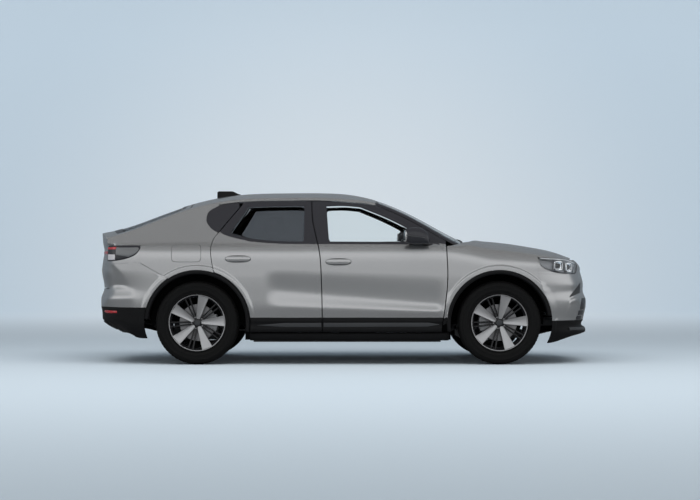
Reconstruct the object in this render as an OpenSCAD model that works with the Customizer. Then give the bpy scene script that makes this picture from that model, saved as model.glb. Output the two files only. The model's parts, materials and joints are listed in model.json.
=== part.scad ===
// Coupe sport utility vehicle, built as separate panels, glass, wheels and running gear.
// Frame: +X forward, +Y left, +Z up, origin on the ground at the middle of the length.

/* [Overall] */
// Length over the bumpers
body_length = 4634; // [4500:1:4700]
// Half of the width over the body sides
half_width = 936; // [900:1:960]
// Highest point of the roof skin
roof_height = 1602; // [1570:1:1640]
// Height of the roof fin above the roof
fin_height = 24; // [15:1:40]

/* [Wheels] */
// Position of the front axle along X
front_axle_x = 1424; // [1400:1:1440]
// Position of the rear axle along X
rear_axle_x = -1343; // [-1360:1:-1320]
// Outer radius of the tyres
tyre_radius = 382; // [370:1:390]
// Width of the tyres
tyre_width = 235; // [215:1:245]
// Radius of the rim at the outer lip
rim_radius = 256; // [240:1:262]
// Distance from the middle plane of the car to the tyre's middle plane
half_track = 800; // [790:1:806]
// Distance of the steering axis inboard of the tyre's middle plane
kingpin_inset = 70; // [60:1:80]
// Radius of the wheel arch openings
arch_radius = 446; // [440:1:456]
// Radial width of the arch trims
arch_trim = 36; // [28:1:44]
// Number of broad spokes
spoke_count = 5; // [5:1:7]

/* [Panels] */
// Shut gap between moving panels and their neighbours
shut_gap = 6; // [5.5:0.5:8]
// Shut gap along a hinged edge
hinge_gap = 9; // [8.5:0.5:11]
// Thickness of a door's outer flange
flange = 6; // [4:0.5:8]
// Depth of the doors from skin to trim
door_depth = 100; // [85:1:110]
// Depth of the window frames
frame_depth = 44; // [36:1:50]
// Thickness of single outer panels
skin = 8; // [6:0.5:10]
// Thickness of the glass
glass = 5; // [4:0.5:7]
// Depth of the side glass behind the door skin
glass_inset = 10; // [8:0.5:14]
// Clearance between pieces seated in one another
seat_gap = 0.4; // [0.3:0.1:0.8]

/* [Hinges] */
// Distance of a door's hinge axis ahead of its leading edge
hinge_ahead = 60; // [55:1:66]
// Distance of the door hinge axes from the middle plane of the car
hinge_y = 890; // [884:1:894]
// Radius of the hinge pins
pin_radius = 4; // [3:0.5:5]
// Radius of the hinge barrels
barrel_radius = 7; // [6:0.5:8]
// Running clearance of pins and spindles
running = 0.05; // [0.03:0.01:0.09]
// Length of a hinge barrel
barrel_length = 40; // [30:1:60]

/* [Cabin] */
// Height of the floor panel
floor_z = 300; // [290:1:310]
// Width of a front seat
seat_width = 500; // [460:1:540]
// Radius of the steering wheel
wheel_grip_radius = 185; // [170:1:195]

/* [Hidden] */
$fn = 48;

paint = [0.62, 0.64, 0.66];
black = [0.05, 0.05, 0.055];
tint = [0.10, 0.12, 0.13];
metal = [0.70, 0.71, 0.72];
cloth = [0.16, 0.16, 0.17];

half_length = body_length / 2;
axle_z = tyre_radius;
kingpin_y = half_track - kingpin_inset;
trim_radius = arch_radius + arch_trim;

// Straight mix, and a mix that starts and ends gently.
function mix(a, b, t) = a + (b - a) * t;
function unit(t) = max(0, min(1, t));
function ease(t) = let (u = unit(t)) u * u * (3 - 2 * u);
function total(v) = [for (x = v) 1] * v;

// Smooth curve through [position, value] pairs, held level past its ends.
function span(p, x, i = 0) = i >= len(p) - 2 || x < p[i + 1][0] ? i : span(p, x, i + 1);
function slope(p, i) = let (a = max(0, i - 1), b = min(len(p) - 1, i + 1))
    (p[b][1] - p[a][1]) / (p[b][0] - p[a][0]);
function curve(p, x) = let (
    i = span(p, x),
    h = p[i + 1][0] - p[i][0],
    t = unit((x - p[i][0]) / h),
    a = t * t * (3 - 2 * t),
    b = t * (1 - t) * (1 - t) * h,
    c = t * t * (t - 1) * h
) mix(p[i][1], p[i + 1][1], a) + slope(p, i) * b + slope(p, i + 1) * c;

// n steps along a smooth line through points, and the same without its last point.
function path(pts, n) = let (q = [for (i = [0:len(pts) - 1]) [i, pts[i]]])
    [for (k = [0:n]) curve(q, k * (len(pts) - 1) / n)];
function open_path(pts, n) = let (all = path(pts, n)) [for (k = [0:n - 1]) all[k]];
function line(a, b, n) = [for (k = [0:n]) mix(a, b, k / n)];
function arc(c, r, a, b, n) = [for (k = [0:n]) let (t = mix(a, b, k / n)) c + r * [cos(t), sin(t)]];

// Nose and tail of the body on the middle plane, [height, distance within the body's length].
nose_line = [for (q = [[180, 117], [277, 4], [364, 33], [510, 6], [560, 1], [600, 4], [655, 24], [743, 24],
    [830, 53], [918, 92], [966, 150]]) [q[0], half_length - q[1]]];
tail_line = [for (q = [[258, 145], [277, 77], [374, 12], [442, 7], [597, 1], [685, 29], [850, 7], [927, 12],
    [1044, 29], [1112, 17], [1219, 9]]) [q[0], q[1] - half_length]];
// Upper outline on the middle plane, [position along X, height].
roof_line = [[-2308, 1219], [-2200, 1238], [-2000, 1297], [-1881, 1340], [-1687, 1413], [-1395, 1510],
    [-1007, roof_height - 19], [-425, roof_height], [-36, roof_height - 7], [158, 1568], [352, 1515],
    [546, 1437], [740, 1340], [934, 1233], [1200, 1095]];
bonnet_line = [[900, 1172], [1200, 1150], [1322, 1133], [1517, 1112], [1711, 1083], [1905, 1049],
    [2002, 1024], [2099, 990], [2167, 966], [2225, 918], [2264, 870]];
// How far the body side stands in from its widest line, [height, inset].
side_inset = [[190, 90], [292, 46], [300, 34], [430, 24], [510, 8], [650, 20], [780, 11], [870, 6]];

shoulder_z = 850;
nose_start = 1600;
tail_start = -1500;
nose_power = 2.6;
tail_power = 2.8;
belt_low = 1075;
belt_high = 1115;
glass_foot_z = 1110;
lean = 0.55;

// Half-width of the lower body: plan rounded at nose and tail, side curved in height.
function plan_round(x, x0, x1, n) = let (t = unit((x - x0) / (x1 - x0))) pow(max(0, 1 - pow(t, n)), 1 / n);
function plan(x, z) = x > nose_start ? plan_round(x, nose_start, curve(nose_line, z), nose_power)
    : x < tail_start ? plan_round(x, tail_start, curve(tail_line, z), tail_power) : 1;
function lower_y(x, z) = plan(x, z) * (half_width - curve(side_inset, z));
function crest(x) = x > 900 ? curve(bonnet_line, x) : 1172;
function roundness(x) = mix(6, 4, ease((x - 900) / 500));
function upper_y(x, z) = let (p = roundness(x), t = unit((z - shoulder_z) / (crest(x) - shoulder_z)))
    lower_y(x, shoulder_z) * pow(max(0, 1 - pow(t, p)), 1 / p);
function body_y(x, z) = z > shoulder_z ? upper_y(x, z) : lower_y(x, z);

// Half-width of the glasshouse, and the roof skin over it.
function foot_y(x) = 872 - (x > 300 ? 60 * pow((x - 300) / 750, 2)
    : x < -500 ? 130 * pow((x + 500) / 1500, 2) : 0);
function house_y(x, z) = foot_y(x) - lean * (z - glass_foot_z);
function crown(x) = mix(70, 45, ease(x / 300));
function roof_z(x, y) = curve(roof_line, x) - crown(x) * pow(abs(y) / 650, 2.2);
function crease_y(x, y = 650, k = 4) = k == 0 ? y : crease_y(x, house_y(x, roof_z(x, y)), k - 1);
function crease_z(x) = roof_z(x, crease_y(x));

// The whole body side as one surface, and a point on it at a depth behind the skin.
function belt_share(x, z) = ease((1150 - x) / 130) * ease((z - belt_low) / (belt_high - belt_low));
function side_y(x, z) = mix(body_y(x, z), house_y(x, z), belt_share(x, z));
function side(p, d) = [p[0], side_y(p[0], p[1]) - d, p[1]];

// Front and rear faces: p[0] runs from -2 to 2, across the middle within 1 and back along the sides beyond.
face_y = 636;
function front_x(y, z, a, b, k = 14) = let (m = (a + b) / 2) k == 0 ? m
    : body_y(m, z) > y ? front_x(y, z, m, b, k - 1) : front_x(y, z, a, m, k - 1);
function face(p, d, x0, x1, back) = let (
    s = abs(p[0]),
    y = min(s, 1) * face_y,
    xm = front_x(y, p[1], x0, x1),
    x = s > 1 ? mix(xm, back, s - 1) : xm,
    ys = s > 1 ? body_y(x, p[1]) : y,
    a = s > 1 ? mix(45, 90, s - 1) : 45 * s,
    dir = x1 > 0 ? 1 : -1,
    m = p[0] < 0 ? -1 : 1
) [x - dir * d * cos(a), m * (ys - d * sin(a)), p[1]];
// Joints of the bumpers with the fenders and quarters: around the arch, then straight to the lamps.
bumper_round = trim_radius + 4;
fender_foot_z = 640;
fender_front_x = 1773;
lamp_low_z = 829;
quarter_foot_z = 790;
lamp_rear_x = -1865;
lamp_foot_z = 926;
function round_x(z) = sqrt(pow(bumper_round, 2) - pow(z - axle_z, 2));
function fender_line_x(z) = front_axle_x + round_x(min(z, fender_foot_z)) - max(0, z - fender_foot_z)
    / (lamp_low_z - fender_foot_z) * (front_axle_x + round_x(fender_foot_z) - fender_front_x);
function quarter_line_x(z) = rear_axle_x - round_x(min(z, quarter_foot_z)) + max(0, z - quarter_foot_z)
    / (lamp_foot_z - quarter_foot_z) * (lamp_rear_x - rear_axle_x + round_x(quarter_foot_z));
function nose(p, d) = face(p, d, nose_start, curve(nose_line, p[1]), fender_line_x(p[1]));
function tail(p, d) = face(p, d, tail_start, curve(tail_line, p[1]), quarter_line_x(p[1]));

// Closed solids from points: faces are turned outwards by the sign of their volume.
function signed(p, f) = total([for (t = f) p[t[0]] * cross(p[t[1]], p[t[2]])]);
module solid(p, f) {
    polyhedron(p, signed(p, f) > 0 ? [for (t = f) [t[2], t[1], t[0]]] : f, convexity = 8);
}
function quad(a, b, c, d) = [[a, b, c], [a, c, d]];

// Panel between an outer and an inner grid of points.
module slab(a, b) {
    r = len(a);
    c = len(a[0]);
    k = r * c;
    skins = [for (i = [0:r - 2], j = [0:c - 2]) let (q = i * c + j)
        each concat(quad(q, q + 1, q + c + 1, q + c), quad(k + q, k + q + c, k + q + c + 1, k + q + 1))];
    rows = [for (j = [0:c - 2]) let (q = (r - 1) * c + j)
        each concat(quad(j + 1, j, k + j, k + j + 1), quad(q, q + 1, k + q + 1, k + q))];
    ends = [for (i = [0:r - 2]) let (q = i * c, e = i * c + c - 1)
        each concat(quad(q, q + c, k + q + c, k + q), quad(e + c, e, k + e, k + e + c))];
    solid(concat([for (row = a) each row], [for (row = b) each row]), concat(skins, rows, ends));
}
// Closed sections carried along a path, capped at its ends or joined into a ring.
function centre(s) = total(s) / len(s);
module loft(sections, ring = false, core = function (s) centre(s)) {
    n = len(sections);
    m = len(sections[0]);
    last = ring ? n - 1 : n - 2;
    walls = [for (i = [0:last], j = [0:m - 1]) let (a = i * m, b = ((i + 1) % n) * m, e = (j + 1) % m)
        each quad(a + j, a + e, b + e, b + j)];
    caps = ring ? [] : [for (j = [0:m - 1]) let (e = (j + 1) % m)
        each [[n * m, e, j], [n * m + 1, (n - 1) * m + j, (n - 1) * m + e]]];
    mids = ring ? [] : [core(sections[0]), core(sections[n - 1])];
    solid(concat([for (s = sections) each s], mids), concat(walls, caps));
}
// Grid of surface parameters filled in between four edges.
function patch(low, high, left, right) = let (n = len(low) - 1, m = len(left) - 1)
    [for (j = [0:m]) [for (i = [0:n]) let (u = i / n, v = j / m)
        mix(low[i], high[i], v) + mix(left[j], right[j], u)
        - mix(mix(low[0], low[n], u), mix(high[0], high[n], u), v)]];
function placed(grid, at, d) = [for (row = grid) [for (p = row) at(p, d)]];
module panel(grid, at, d0, d1) {
    slab(placed(grid, at, d0), placed(grid, at, d1));
}
// Panel with a hole: hole and rim are loops with as many points, profile gives [share, depth] pairs.
module ring_panel(hole, rim, at, profile) {
    loft([for (i = [0:len(hole) - 1]) [for (q = profile(hole[i], rim[i]))
        at(mix(hole[i], rim[i], q[0]), q[1])]], true);
}
// Pane that fills a loop, drawn in slightly from its edge.
module pane(loop, at, d0, d1, gap) {
    mid = total(loop) / len(loop);
    n = len(loop);
    edge = [for (p = loop) let (v = mid - p) p + v * gap / norm(v)];
    half = [for (p = edge) mix(p, mid, 0.5)];
    pts = [for (d = [d0, d1]) each concat([for (p = edge) at(p, d)], [for (p = half) at(p, d)],
        [at(mid, d)])];
    k = 2 * n + 1;
    f = [for (i = [0:n - 1]) let (e = (i + 1) % n)
        each concat(quad(i, e, n + e, n + i), [[n + i, n + e, 2 * n]],
            quad(k + i, k + n + i, k + n + e, k + e), [[k + n + i, k + 2 * n, k + n + e]],
            quad(e, i, k + i, k + e))];
    solid(pts, f);
}
function plain(d) = function (a, b) concat([for (k = [0:4]) [k / 4, 0]], [for (k = [4:-2:0]) [k / 4, d]]);
module both() {
    children();
    mirror([0, 1, 0]) children();
}
module hand(s) {
    mirror([0, s < 0 ? 1 : 0, 0]) children();
}

// Shut lines on the body side, as points [x, z].
door_low_z = 297;
rail_drop = 24;
function door_top(x) = [x, crease_z(x) - rail_drop - shut_gap];
front_line = [[940, 1128], [938, 1085], [945, 945], [949, 853], [945, 716], [931, 578], [913, 441],
    [901, 360], [900, door_low_z]];
middle_line = [[-196, door_low_z], [-200, 578], [-205, 761], [-214, 945], [-228, 1055], [-256, 1175],
    [-287, 1315], [-297, 1470]];
rear_line = [[-1185, 846], [-1194, 871], [-1208, 945], [-1218, 1036], [-1214, 1092], [-1195, 1156],
    [-1145, 1218]];
rear_split = [[-1145, 1218], [-1040, 1350], [-940, 1474]];
shut_top_z = 1092;
flap_top_z = 1118;
rear_heights = [846, 945, 1036, flap_top_z];
function rear_x(z) = curve([for (p = rear_line) [p[1], p[0]]], z);
// Joint of the quarter with the rear pillar, raised over the charge flap.
top_joint = [[rear_x(flap_top_z) - shut_gap / 2, flap_top_z], [-1300, flap_top_z], [-1400, flap_top_z],
    [-1500, flap_top_z], [-1600, flap_top_z], [-1700, shut_top_z], [-1780, shut_top_z], [lamp_rear_x,
        shut_top_z]];
sill_top = door_low_z - shut_gap;
flap_mid = [-1440, 1018];
flap_size = [264, 155];
flap_round = 35;
function shifted(pts, dx) = [for (p = pts) p + [dx, 0]];

// Rails above the doors: each section lies between the roof skin and the window frames.
rail_width = 58;
rail_front_x = 1036;
rail_rear_x = -1150;
roof_front_x = 300;
roof_rear_x = -1420;
screen_low_x = 1150;
screen_bow = 62;
function screen_edge_x(i) = mix(screen_low_x - screen_bow, roof_front_x + seat_gap, i / 5);
roof_stations = [roof_front_x, 225, 140, 40, -100, -300, -550, -800, -1000, rail_rear_x, -1285,
    roof_rear_x];
rail_stations = concat([rail_front_x], [for (i = [1:4]) screen_edge_x(i)],
    [for (i = [0:9]) roof_stations[i]]);
function rail_section(x) = let (y = crease_y(x), z = crease_z(x), low = z - rail_drop) [
    [x, y, z],
    [x, house_y(x, low), low],
    [x, house_y(x, low) - rail_width + 6, low - 10],
    [x, y - rail_width, roof_z(x, y - rail_width) - 36],
    [x, y - rail_width, roof_z(x, y - rail_width)]];
module side_frames() color(paint) both() loft([for (x = rail_stations) rail_section(x)]);

// Upright between the doors: a post behind the front door's edge with a wider inner face.
post_low_z = sill_top + seat_gap;
post_face = 84;
function post_x(z) = curve([for (p = middle_line) [p[1], p[0]]], z);
function post_section(z) = let (
    x = post_x(z),
    y = side_y(x, z),
    u = ease((z - 1050) / 90),
    outer = mix(22, frame_depth + 10, u),
    front = mix(150, 62, u),
    mid = mix(post_face, 0, u),
    inner = mix(door_depth + 16, frame_depth + 28, u),
    deep = mix(door_depth + 66, frame_depth + 62, u),
    back = mix(-46, -60, u)
) [for (q = [[front, outer], [mid, outer], [mid, inner], [back, inner], [back, deep], [front, deep]])
    [x + q[0], y - q[1], z]];
module b_pillars() {
    top_z = crease_z(middle_line[7][0]) - rail_drop - 10 - 4 * seat_gap;
    color(black) both() {
        loft([for (k = [0:10]) post_section(mix(post_low_z, top_z, k / 10))],
            core = function (s) (s[2] + s[5]) / 2);
        for (z = hinge_heights) hinge_bracket(rear_hinge_x, z, function (h) post_x(h) + post_face);
    }
}

// Vertical hinge: pin between two lugs on the post, barrel with a curved arm on the door.
hinge_heights = [690, 930];
hinge_post_gap = 12;
front_hinge_x = 945 + hinge_ahead;
rear_hinge_x = -205 + hinge_ahead;
lug = 10;
function hinge_span() = barrel_length / 2 + 0.5;
module hinge_bracket(x, z, face_x) {
    for (s = [-1, 1]) let (h = z + s * (hinge_span() + lug / 2)) translate([x, hinge_y, h]) {
        cylinder(h = lug, r = barrel_radius, center = true);
        translate([0, -barrel_radius - 14, -lug / 2])
            cube([face_x(h) - x - 2 * seat_gap, barrel_radius + 14, lug]);
    }
    translate([x, hinge_y, z]) cylinder(h = 2 * hinge_span() + lug, r = pin_radius, center = true);
}
module hinge_arm(x, z, reach) {
    translate([x, hinge_y, z - barrel_length / 2]) {
        difference() {
            linear_extrude(barrel_length) union() {
                circle(r = barrel_radius);
                polygon([[-6, -3], [6, -3], [-20, -60], [-reach, -66], [-reach, -54], [-32, -48]]);
            }
            translate([0, 0, -1]) cylinder(h = barrel_length + 2, r = pin_radius + running);
        }
    }
}

// Roof skin between the rails, with the rounded fin at its rear.
function roof_edge(x) = crease_y(x) - rail_width - seat_gap;
function over(p, d) = let (y = p[1] * roof_edge(p[0])) [p[0], y, roof_z(p[0], y) - d];
roof_thick = 8;
fin_front_x = -1007;
fin_rear_x = -1221;
fin_half = 34;
function fin_section(t) = let (
    x = mix(fin_front_x, fin_rear_x, t),
    foot = curve(roof_line, x) + seat_gap,
    top = roof_height + fin_height - (1 - ease(t * 1.15)) * 30,
    w = fin_half * sqrt(max(0.05, sin(180 * mix(0.12, 0.92, t))))
) [for (q = [[-1, 0], [-0.7, 0.45], [-0.25, 1], [0.25, 1], [0.7, 0.45], [1, 0]])
    [x, q[0] * w, mix(foot, max(foot + 4, top), q[1])]];
module roof() color(paint) {
    panel([for (x = roof_stations) [for (j = [0:10]) [x, mix(-1, 1, j / 10)]]], function (p, d) over(p, d),
        0, roof_thick);
    loft([for (k = [0:7]) fin_section(k / 7)]);
    at_gate_hinge() cross_lugs([[-7, 0], [7, 0], [7, gate_below - roof_thick], [-7,
        gate_below - roof_thick]]);
}
module windscreen() {
    grid = [for (i = [0:5]) [for (j = [0:10]) let (u = mix(-1, 1, j / 10))
        [screen_edge_x(i) + screen_bow * (1 - u * u) * (1 - i / 5), u]]];
    color(tint) panel(grid, function (p, d) over(p, d), 2, 2 + glass);
}
cowl_half = 652;
cowl_lap = 30;
cowl_front_z = 1052;
function cowl_x(y, t) = let (x = screen_low_x - screen_bow * pow(y / cowl_half, 2) * 0.81)
    t < 1 ? x - cowl_lap * (1 - t) : mix(x, bonnet_rear_x(y) + 24, t - 1);
function cowl_at(p, d) = let (
    x = cowl_x(p[0], p[1]),
    under = roof_z(min(x, cowl_x(p[0], 1)), p[0]) - 2 - glass - 4 * seat_gap
) [x, p[0], mix(under, cowl_front_z, unit(p[1] - 1)) - d];
module cowl() {
    grid = [for (t = [0, 1, 1.5, 2]) [for (j = [0:10]) [mix(-cowl_half, cowl_half, j / 10), t]]];
    color(black) panel(grid, function (p, d) cowl_at(p, d), 0, 12);
}

// Rear pillar with the shoulder above the lamp, and the fixed side window ahead of it.
rear_end_x = -2170;
pillar_edge = [[-1160, 1210], [-1215, 1240], [-1262, 1296], [-1272, 1345], [-1250, 1408], [-1160, 1462]];
pillar_front = concat([for (z = [flap_top_z, 1156, 1190]) [rear_x(z) - shut_gap / 2, z]], pillar_edge,
    [[rail_rear_x - seat_gap, crease_z(rail_rear_x) - seat_gap]]);
window_drop = 4;
window_front = shifted([[-1145, 1222], [-1040, 1352], [-962, 1448]], -5);
window_loop = concat(open_path(window_front, 6),
    [for (x = [-975, -1000, -1060, rail_rear_x]) [x, crease_z(x) - rail_drop - window_drop]],
    [for (k = [5:-1:0]) pillar_edge[k] + [1, 0] * seat_gap]);
module c_pillars() {
    low = concat(top_joint, [for (x = [-1960, -2070, rear_end_x]) [x, shut_top_z]]);
    high = [for (k = [0:10]) let (x = mix(rail_rear_x - seat_gap, rear_end_x, k / 10)) [x,
        crease_z(x) - seat_gap]];
    back = line(low[10], high[10], len(pillar_front) - 1);
    color(paint) both() panel(patch(low, high, pillar_front, back), function (p, d) side(p, d), 0,
        rail_width);
}
module quarter_windows() color(tint) both() pane(window_loop, function (p, d) side(p, d),
    glass_inset, glass_inset + glass, 0);

// Rear quarter around the wheel arch; the right one opens at the charge flap.
function rounded(c, s, r, n) = [for (q = [[1, -1, -90], [1, 1, 0], [-1, 1, 90], [-1, -1, 180]])
    each arc(c + [q[0] * (s[0] / 2 - r), q[1] * (s[1] / 2 - r)], r, q[2], q[2] + 90, n)];
function arch_angle(x, z) = atan2(z - axle_z, x - rear_axle_x);
quarter_round = trim_radius + 1.6;
quarter_low_x = quarter_line_x(quarter_foot_z) + seat_gap;
quarter_rim = concat(
    open_path([[quarter_low_x, quarter_foot_z], [lamp_rear_x + seat_gap, lamp_foot_z]], 5),
    open_path([[lamp_rear_x + seat_gap, lamp_foot_z], [lamp_rear_x + seat_gap, shut_top_z - seat_gap]], 3),
    [[lamp_rear_x + seat_gap, shut_top_z - seat_gap]], [for (k = [6:-1:0]) top_joint[k] - [0, seat_gap]],
    [for (k = [2:-1:0]) [rear_x(rear_heights[k]) - shut_gap / 2, rear_heights[k]]],
    let (a = arch_angle(rear_line[0][0] - shut_gap / 2, rear_line[0][1]), b = arch_angle(quarter_low_x,
        quarter_foot_z))
        [for (k = [0:6]) let (q = mix(a, b, k / 7)) [rear_axle_x, axle_z] + quarter_round * [cos(q),
            sin(q)]]);
function matched(loop, hole, c) = [for (p = loop) let (
    v = p - c,
    s = min(hole[0] / 2 / max(1, abs(v[0])), hole[1] / 2 / max(1, abs(v[1])))
) c + v * s];
module quarters() color(paint) {
    pane(quarter_rim, function (p, d) side(p, d), 0, skin, 0);
    mirror([0, 1, 0]) ring_panel(matched(quarter_rim, flap_size + [16, 12], flap_mid), quarter_rim,
        function (p, d) side(p, d), plain(skin));
    flap_bracket();
}

// Front fender from the door to the headlamp, rolled over to the bonnet.
function bonnet_edge_y(x) = min(770 - 80 * ease((x - 1500) / 600), body_y(x, shoulder_z) * 0.87);
function edge_z(x, y) = let (p = roundness(x), t = pow(y / body_y(x, shoulder_z), p))
    shoulder_z + (crest(x) - shoulder_z) * pow(max(0, 1 - t), 1 / p);
fender_rear_x = 944;
fender_rear_z = 1084;
fender_shut_x = 1150;
function fender_top(x) = let (
    e = max(x, fender_shut_x),
    z = edge_z(e, bonnet_edge_y(e) + shut_gap),
    t = (x - fender_rear_x) / (fender_shut_x - fender_rear_x)
) [x, mix(fender_rear_z, z, ease(t))];
// Depth behind the skin, turned downwards along the edge beside the bonnet.
roll_height = 90;
function rolled(p, d) = let (w = ease((p[1] - fender_top(p[0])[1]) / roll_height + 1))
    [p[0], side_y(p[0], p[1]) - d * (1 - w), p[1] - d * w];
module fenders() {
    r = trim_radius + 2.2;
    top = [for (k = [0:18]) fender_top(mix(fender_rear_x, fender_front_x, k / 18))];
    rear = path(shifted([for (k = [7:-1:1]) front_line[k]], hinge_gap / 2), 6);
    joint = [fender_line_x(fender_foot_z) - seat_gap, fender_foot_z];
    start = 180 + asin((axle_z - rear[0][1]) / r);
    end = atan2(joint[1] - axle_z, joint[0] - front_axle_x);
    low = [for (k = [0:18]) let (q = mix(start, end, k / 18))
        k == 0 ? rear[0] : k == 18 ? joint : [front_axle_x, axle_z] + r * [cos(q), sin(q)]];
    lamp = [fender_front_x - seat_gap, lamp_low_z];
    left = [for (k = [0:6]) k == 6 ? top[0] : rear[k]];
    right = concat(line(joint, lamp, 3), [for (k = [1:3]) mix(lamp, [lamp[0], top[18][1]], k / 3)]);
    color(paint) both() panel(patch(low, concat([for (k = [0:17]) top[k]], [right[6]]), left, right),
        function (p, d) rolled(p, d), 0, skin);
}

// Front face: painted bumper around the grille, lamps above it, dark lower part below.
bumper_low_z = 441;
grille_half = 0.74;
grille_loop = concat(
    open_path([[0, 480], [0.42, 480]], 3), open_path([[0.42, 480], [0.56, 530]], 5),
    open_path([[0.56, 530], [0.70, 655]], 4), open_path([[0.70, 655], [grille_half, 700], [0.72, 770]], 5),
    open_path([[0.72, 770], [0.62, 840], [0.5, 872]], 3), line([0.5, 872], [0, 878], 3));
nose_rim = concat(
    open_path([[0, bumper_low_z], [1, bumper_low_z]], 3), open_path([[1, bumper_low_z], [2,
        bumper_low_z]], 5),
    open_path([[2, bumper_low_z], [2, fender_foot_z]], 2), open_path([[2, fender_foot_z], [2,
        lamp_low_z - seat_gap]], 2),
    open_path([[2, lamp_low_z - seat_gap], [1.04, lamp_low_z - seat_gap]], 5),
    open_path([[1.04, lamp_low_z - seat_gap], [0.94, 850], [0.88, 908],
        [0.80, 940]], 3), line([0.80, 940], [0, 950], 3));
function mirrored_loop(l) = concat(l, [for (k = [len(l) - 2:-1:1]) [-l[k][0], l[k][1]]]);
grille_depth = skin + 8 * seat_gap;
grille_mid = 680;
grille_back = [for (p = grille_loop) [p[0] * 1.012, grille_mid + (p[1] - grille_mid) * 1.012]];
module bumper_front() color(paint) ring_panel(mirrored_loop(grille_loop), mirrored_loop(nose_rim),
    function (p, d) nose(p, d), plain(skin));
module grille() color(black) pane(mirrored_loop(grille_back), function (p, d) nose(p, d),
    grille_depth, grille_depth + 16, 0);
function band(z0, z1, n, m, s0 = -2, s1 = 2) =
    [for (j = [0:m]) [for (i = [0:n]) [mix(s0, s1, i / n), mix(z0, z1, j / m)]]];
cladding_low_z = 240;
cladding_thick = 30;
module cladding_front() color(black) panel(band(cladding_low_z, bumper_low_z - seat_gap, 24, 4),
    function (p, d) nose(p, d), 0, cladding_thick);
lamp_depth = 60;
module headlamps() {
    low = line([fender_front_x, lamp_low_z], [2130, lamp_low_z], 6);
    high = [for (k = [0:6]) fender_top(mix(fender_front_x, 2164, k / 6))];
    front = path([low[6], [2155, 850], [2165, 908], high[6]], 3);
    color(tint) both() panel(patch(low, high, line(low[0], high[0], 3), front),
        function (p, d) rolled(p, d), 0, lamp_depth);
}

// Rear face: painted bumper, lamps at the corners, dark lower part.
bumper_rear_low = 536;
tail_panel_z = 688;
function tail_top_z(s) = mix(tail_panel_z, lamp_foot_z, unit((abs(s) - 0.985) / 0.015));
tail_steps = [-2, -1.8, -1.6, -1.4, -1.2, -1, -0.985, -0.7, -0.35, 0, 0.35, 0.7, 0.985, 1, 1.2, 1.4,
    1.6, 1.8, 2];
tail_rows = [0, 0.17, 0.34, 0.5, (quarter_foot_z - bumper_rear_low) / (lamp_foot_z - bumper_rear_low),
    0.83, 1];
module bumper_rear() color(paint) panel([for (t = tail_rows) [for (s = tail_steps)
    [s, mix(bumper_rear_low, tail_top_z(s), t)]]], function (p, d) tail(p, d), 0, skin);
module cladding_rear() color(black) panel(band(262, bumper_rear_low - seat_gap, 20, 4),
    function (p, d) tail(p, d), 0, cladding_thick);
// The lamps run straight forward beside the tailgate and inwards where they meet the quarters.
function lamp_at(p, d) = let (
    q = face(p, 0, tail_start, curve(tail_line, p[1]), lamp_rear_x),
    w = unit(p[0] - 1)
) [q[0] + d * (1 - w), q[1] - d * w, q[2]];
module tail_lamps() {
    grid = [for (j = [0:3]) [for (i = [0:8])
        [mix(1.0, 2, i / 8), mix(lamp_foot_z + seat_gap, shut_top_z - seat_gap, j / 3)]]];
    color([0.45, 0.04, 0.05]) both() panel(grid, function (p, d) lamp_at(p, d), 0, 40);
}

// Trims and liners around the wheels.
trim_y = 868;
module arch_ring(x, r0, r1, y0, y1, a0, a1) translate([x, y1, axle_z]) rotate([90, 0, 0])
    rotate([0, 0, a0]) rotate_extrude(angle = a1 - a0, $fn = 96) translate([r0, 0]) square([r1 - r0,
        y1 - y0]);
module arch_trims() color(black) both() {
    arch_ring(front_axle_x, arch_radius, trim_radius, trim_y, half_width, 8, 190);
    arch_ring(rear_axle_x, arch_radius, trim_radius, trim_y, half_width, -10, 176);
}
liner = 5;
liner_radius = arch_radius + 2;
front_liner_y = 465;
rear_liner_y = 660;
module wheel_liners() color(black) both() {
    arch_ring(front_axle_x, liner_radius, liner_radius + liner, front_liner_y, trim_y - seat_gap, 12, 178);
    arch_ring(rear_axle_x, liner_radius, liner_radius + liner, rear_liner_y, trim_y - seat_gap, 2, 172);
}

// Doors: a ring from the window's edge to the shut line, with a thin flange and a deep inner box.
function at_depth(z) = mix(door_depth, frame_depth, ease((z - 1050) / 60));
function door_section(h, r, q) = concat([for (k = [0:6]) side(mix(h, q, k / 6), 0)],
    [side(r, 0), side(r, flange), side(q, flange)],
    [for (k = [3:-1:0]) let (p = mix(h, q, k / 3)) side(p, at_depth(p[1]))]);
module door_shell(hole, rim, inner) {
    loft([for (i = [0:len(rim) - 1]) door_section(hole[i], rim[i], inner[i])], true);
}
// The inner box stands in from the shut line: widely behind the post, narrowly elsewhere.
edge_inset = 25;
tail_inset = 162;
half_gap = hinge_gap / 2;
front_hole = concat(
    open_path([[680, 1122], [300, 1124], [-122, 1126]], 7),
    open_path([[-122, 1126], [-132, 1129], [-137, 1138]], 5),
    open_path([[-137, 1138], [-150, 1300], [-160, 1446]], 5),
    open_path([[-160, 1446], [-152, 1454], [0, 1458], [150, 1446]], 5),
    open_path([[150, 1446], [400, 1342], [600, 1238], [706, 1150]], 6),
    open_path([[706, 1150], [710, 1132], [680, 1122]], 6));
front_rim = concat(
    open_path([[900 - hinge_gap / 2, door_low_z], [-196 + hinge_gap / 2, door_low_z]], 7),
    open_path(shifted([for (k = [0:4]) middle_line[k]], hinge_gap / 2), 5),
    open_path(shifted(concat([for (k = [4:7]) middle_line[k]], [door_top(-297)]), hinge_gap / 2), 5),
    [for (k = [0:4]) door_top(mix(-297 + hinge_gap / 2, 230, k / 5))],
    [for (k = [0:5]) door_top(mix(230, 940 - hinge_gap / 2, k / 6))],
    open_path(shifted(front_line, -hinge_gap / 2), 6));
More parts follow.
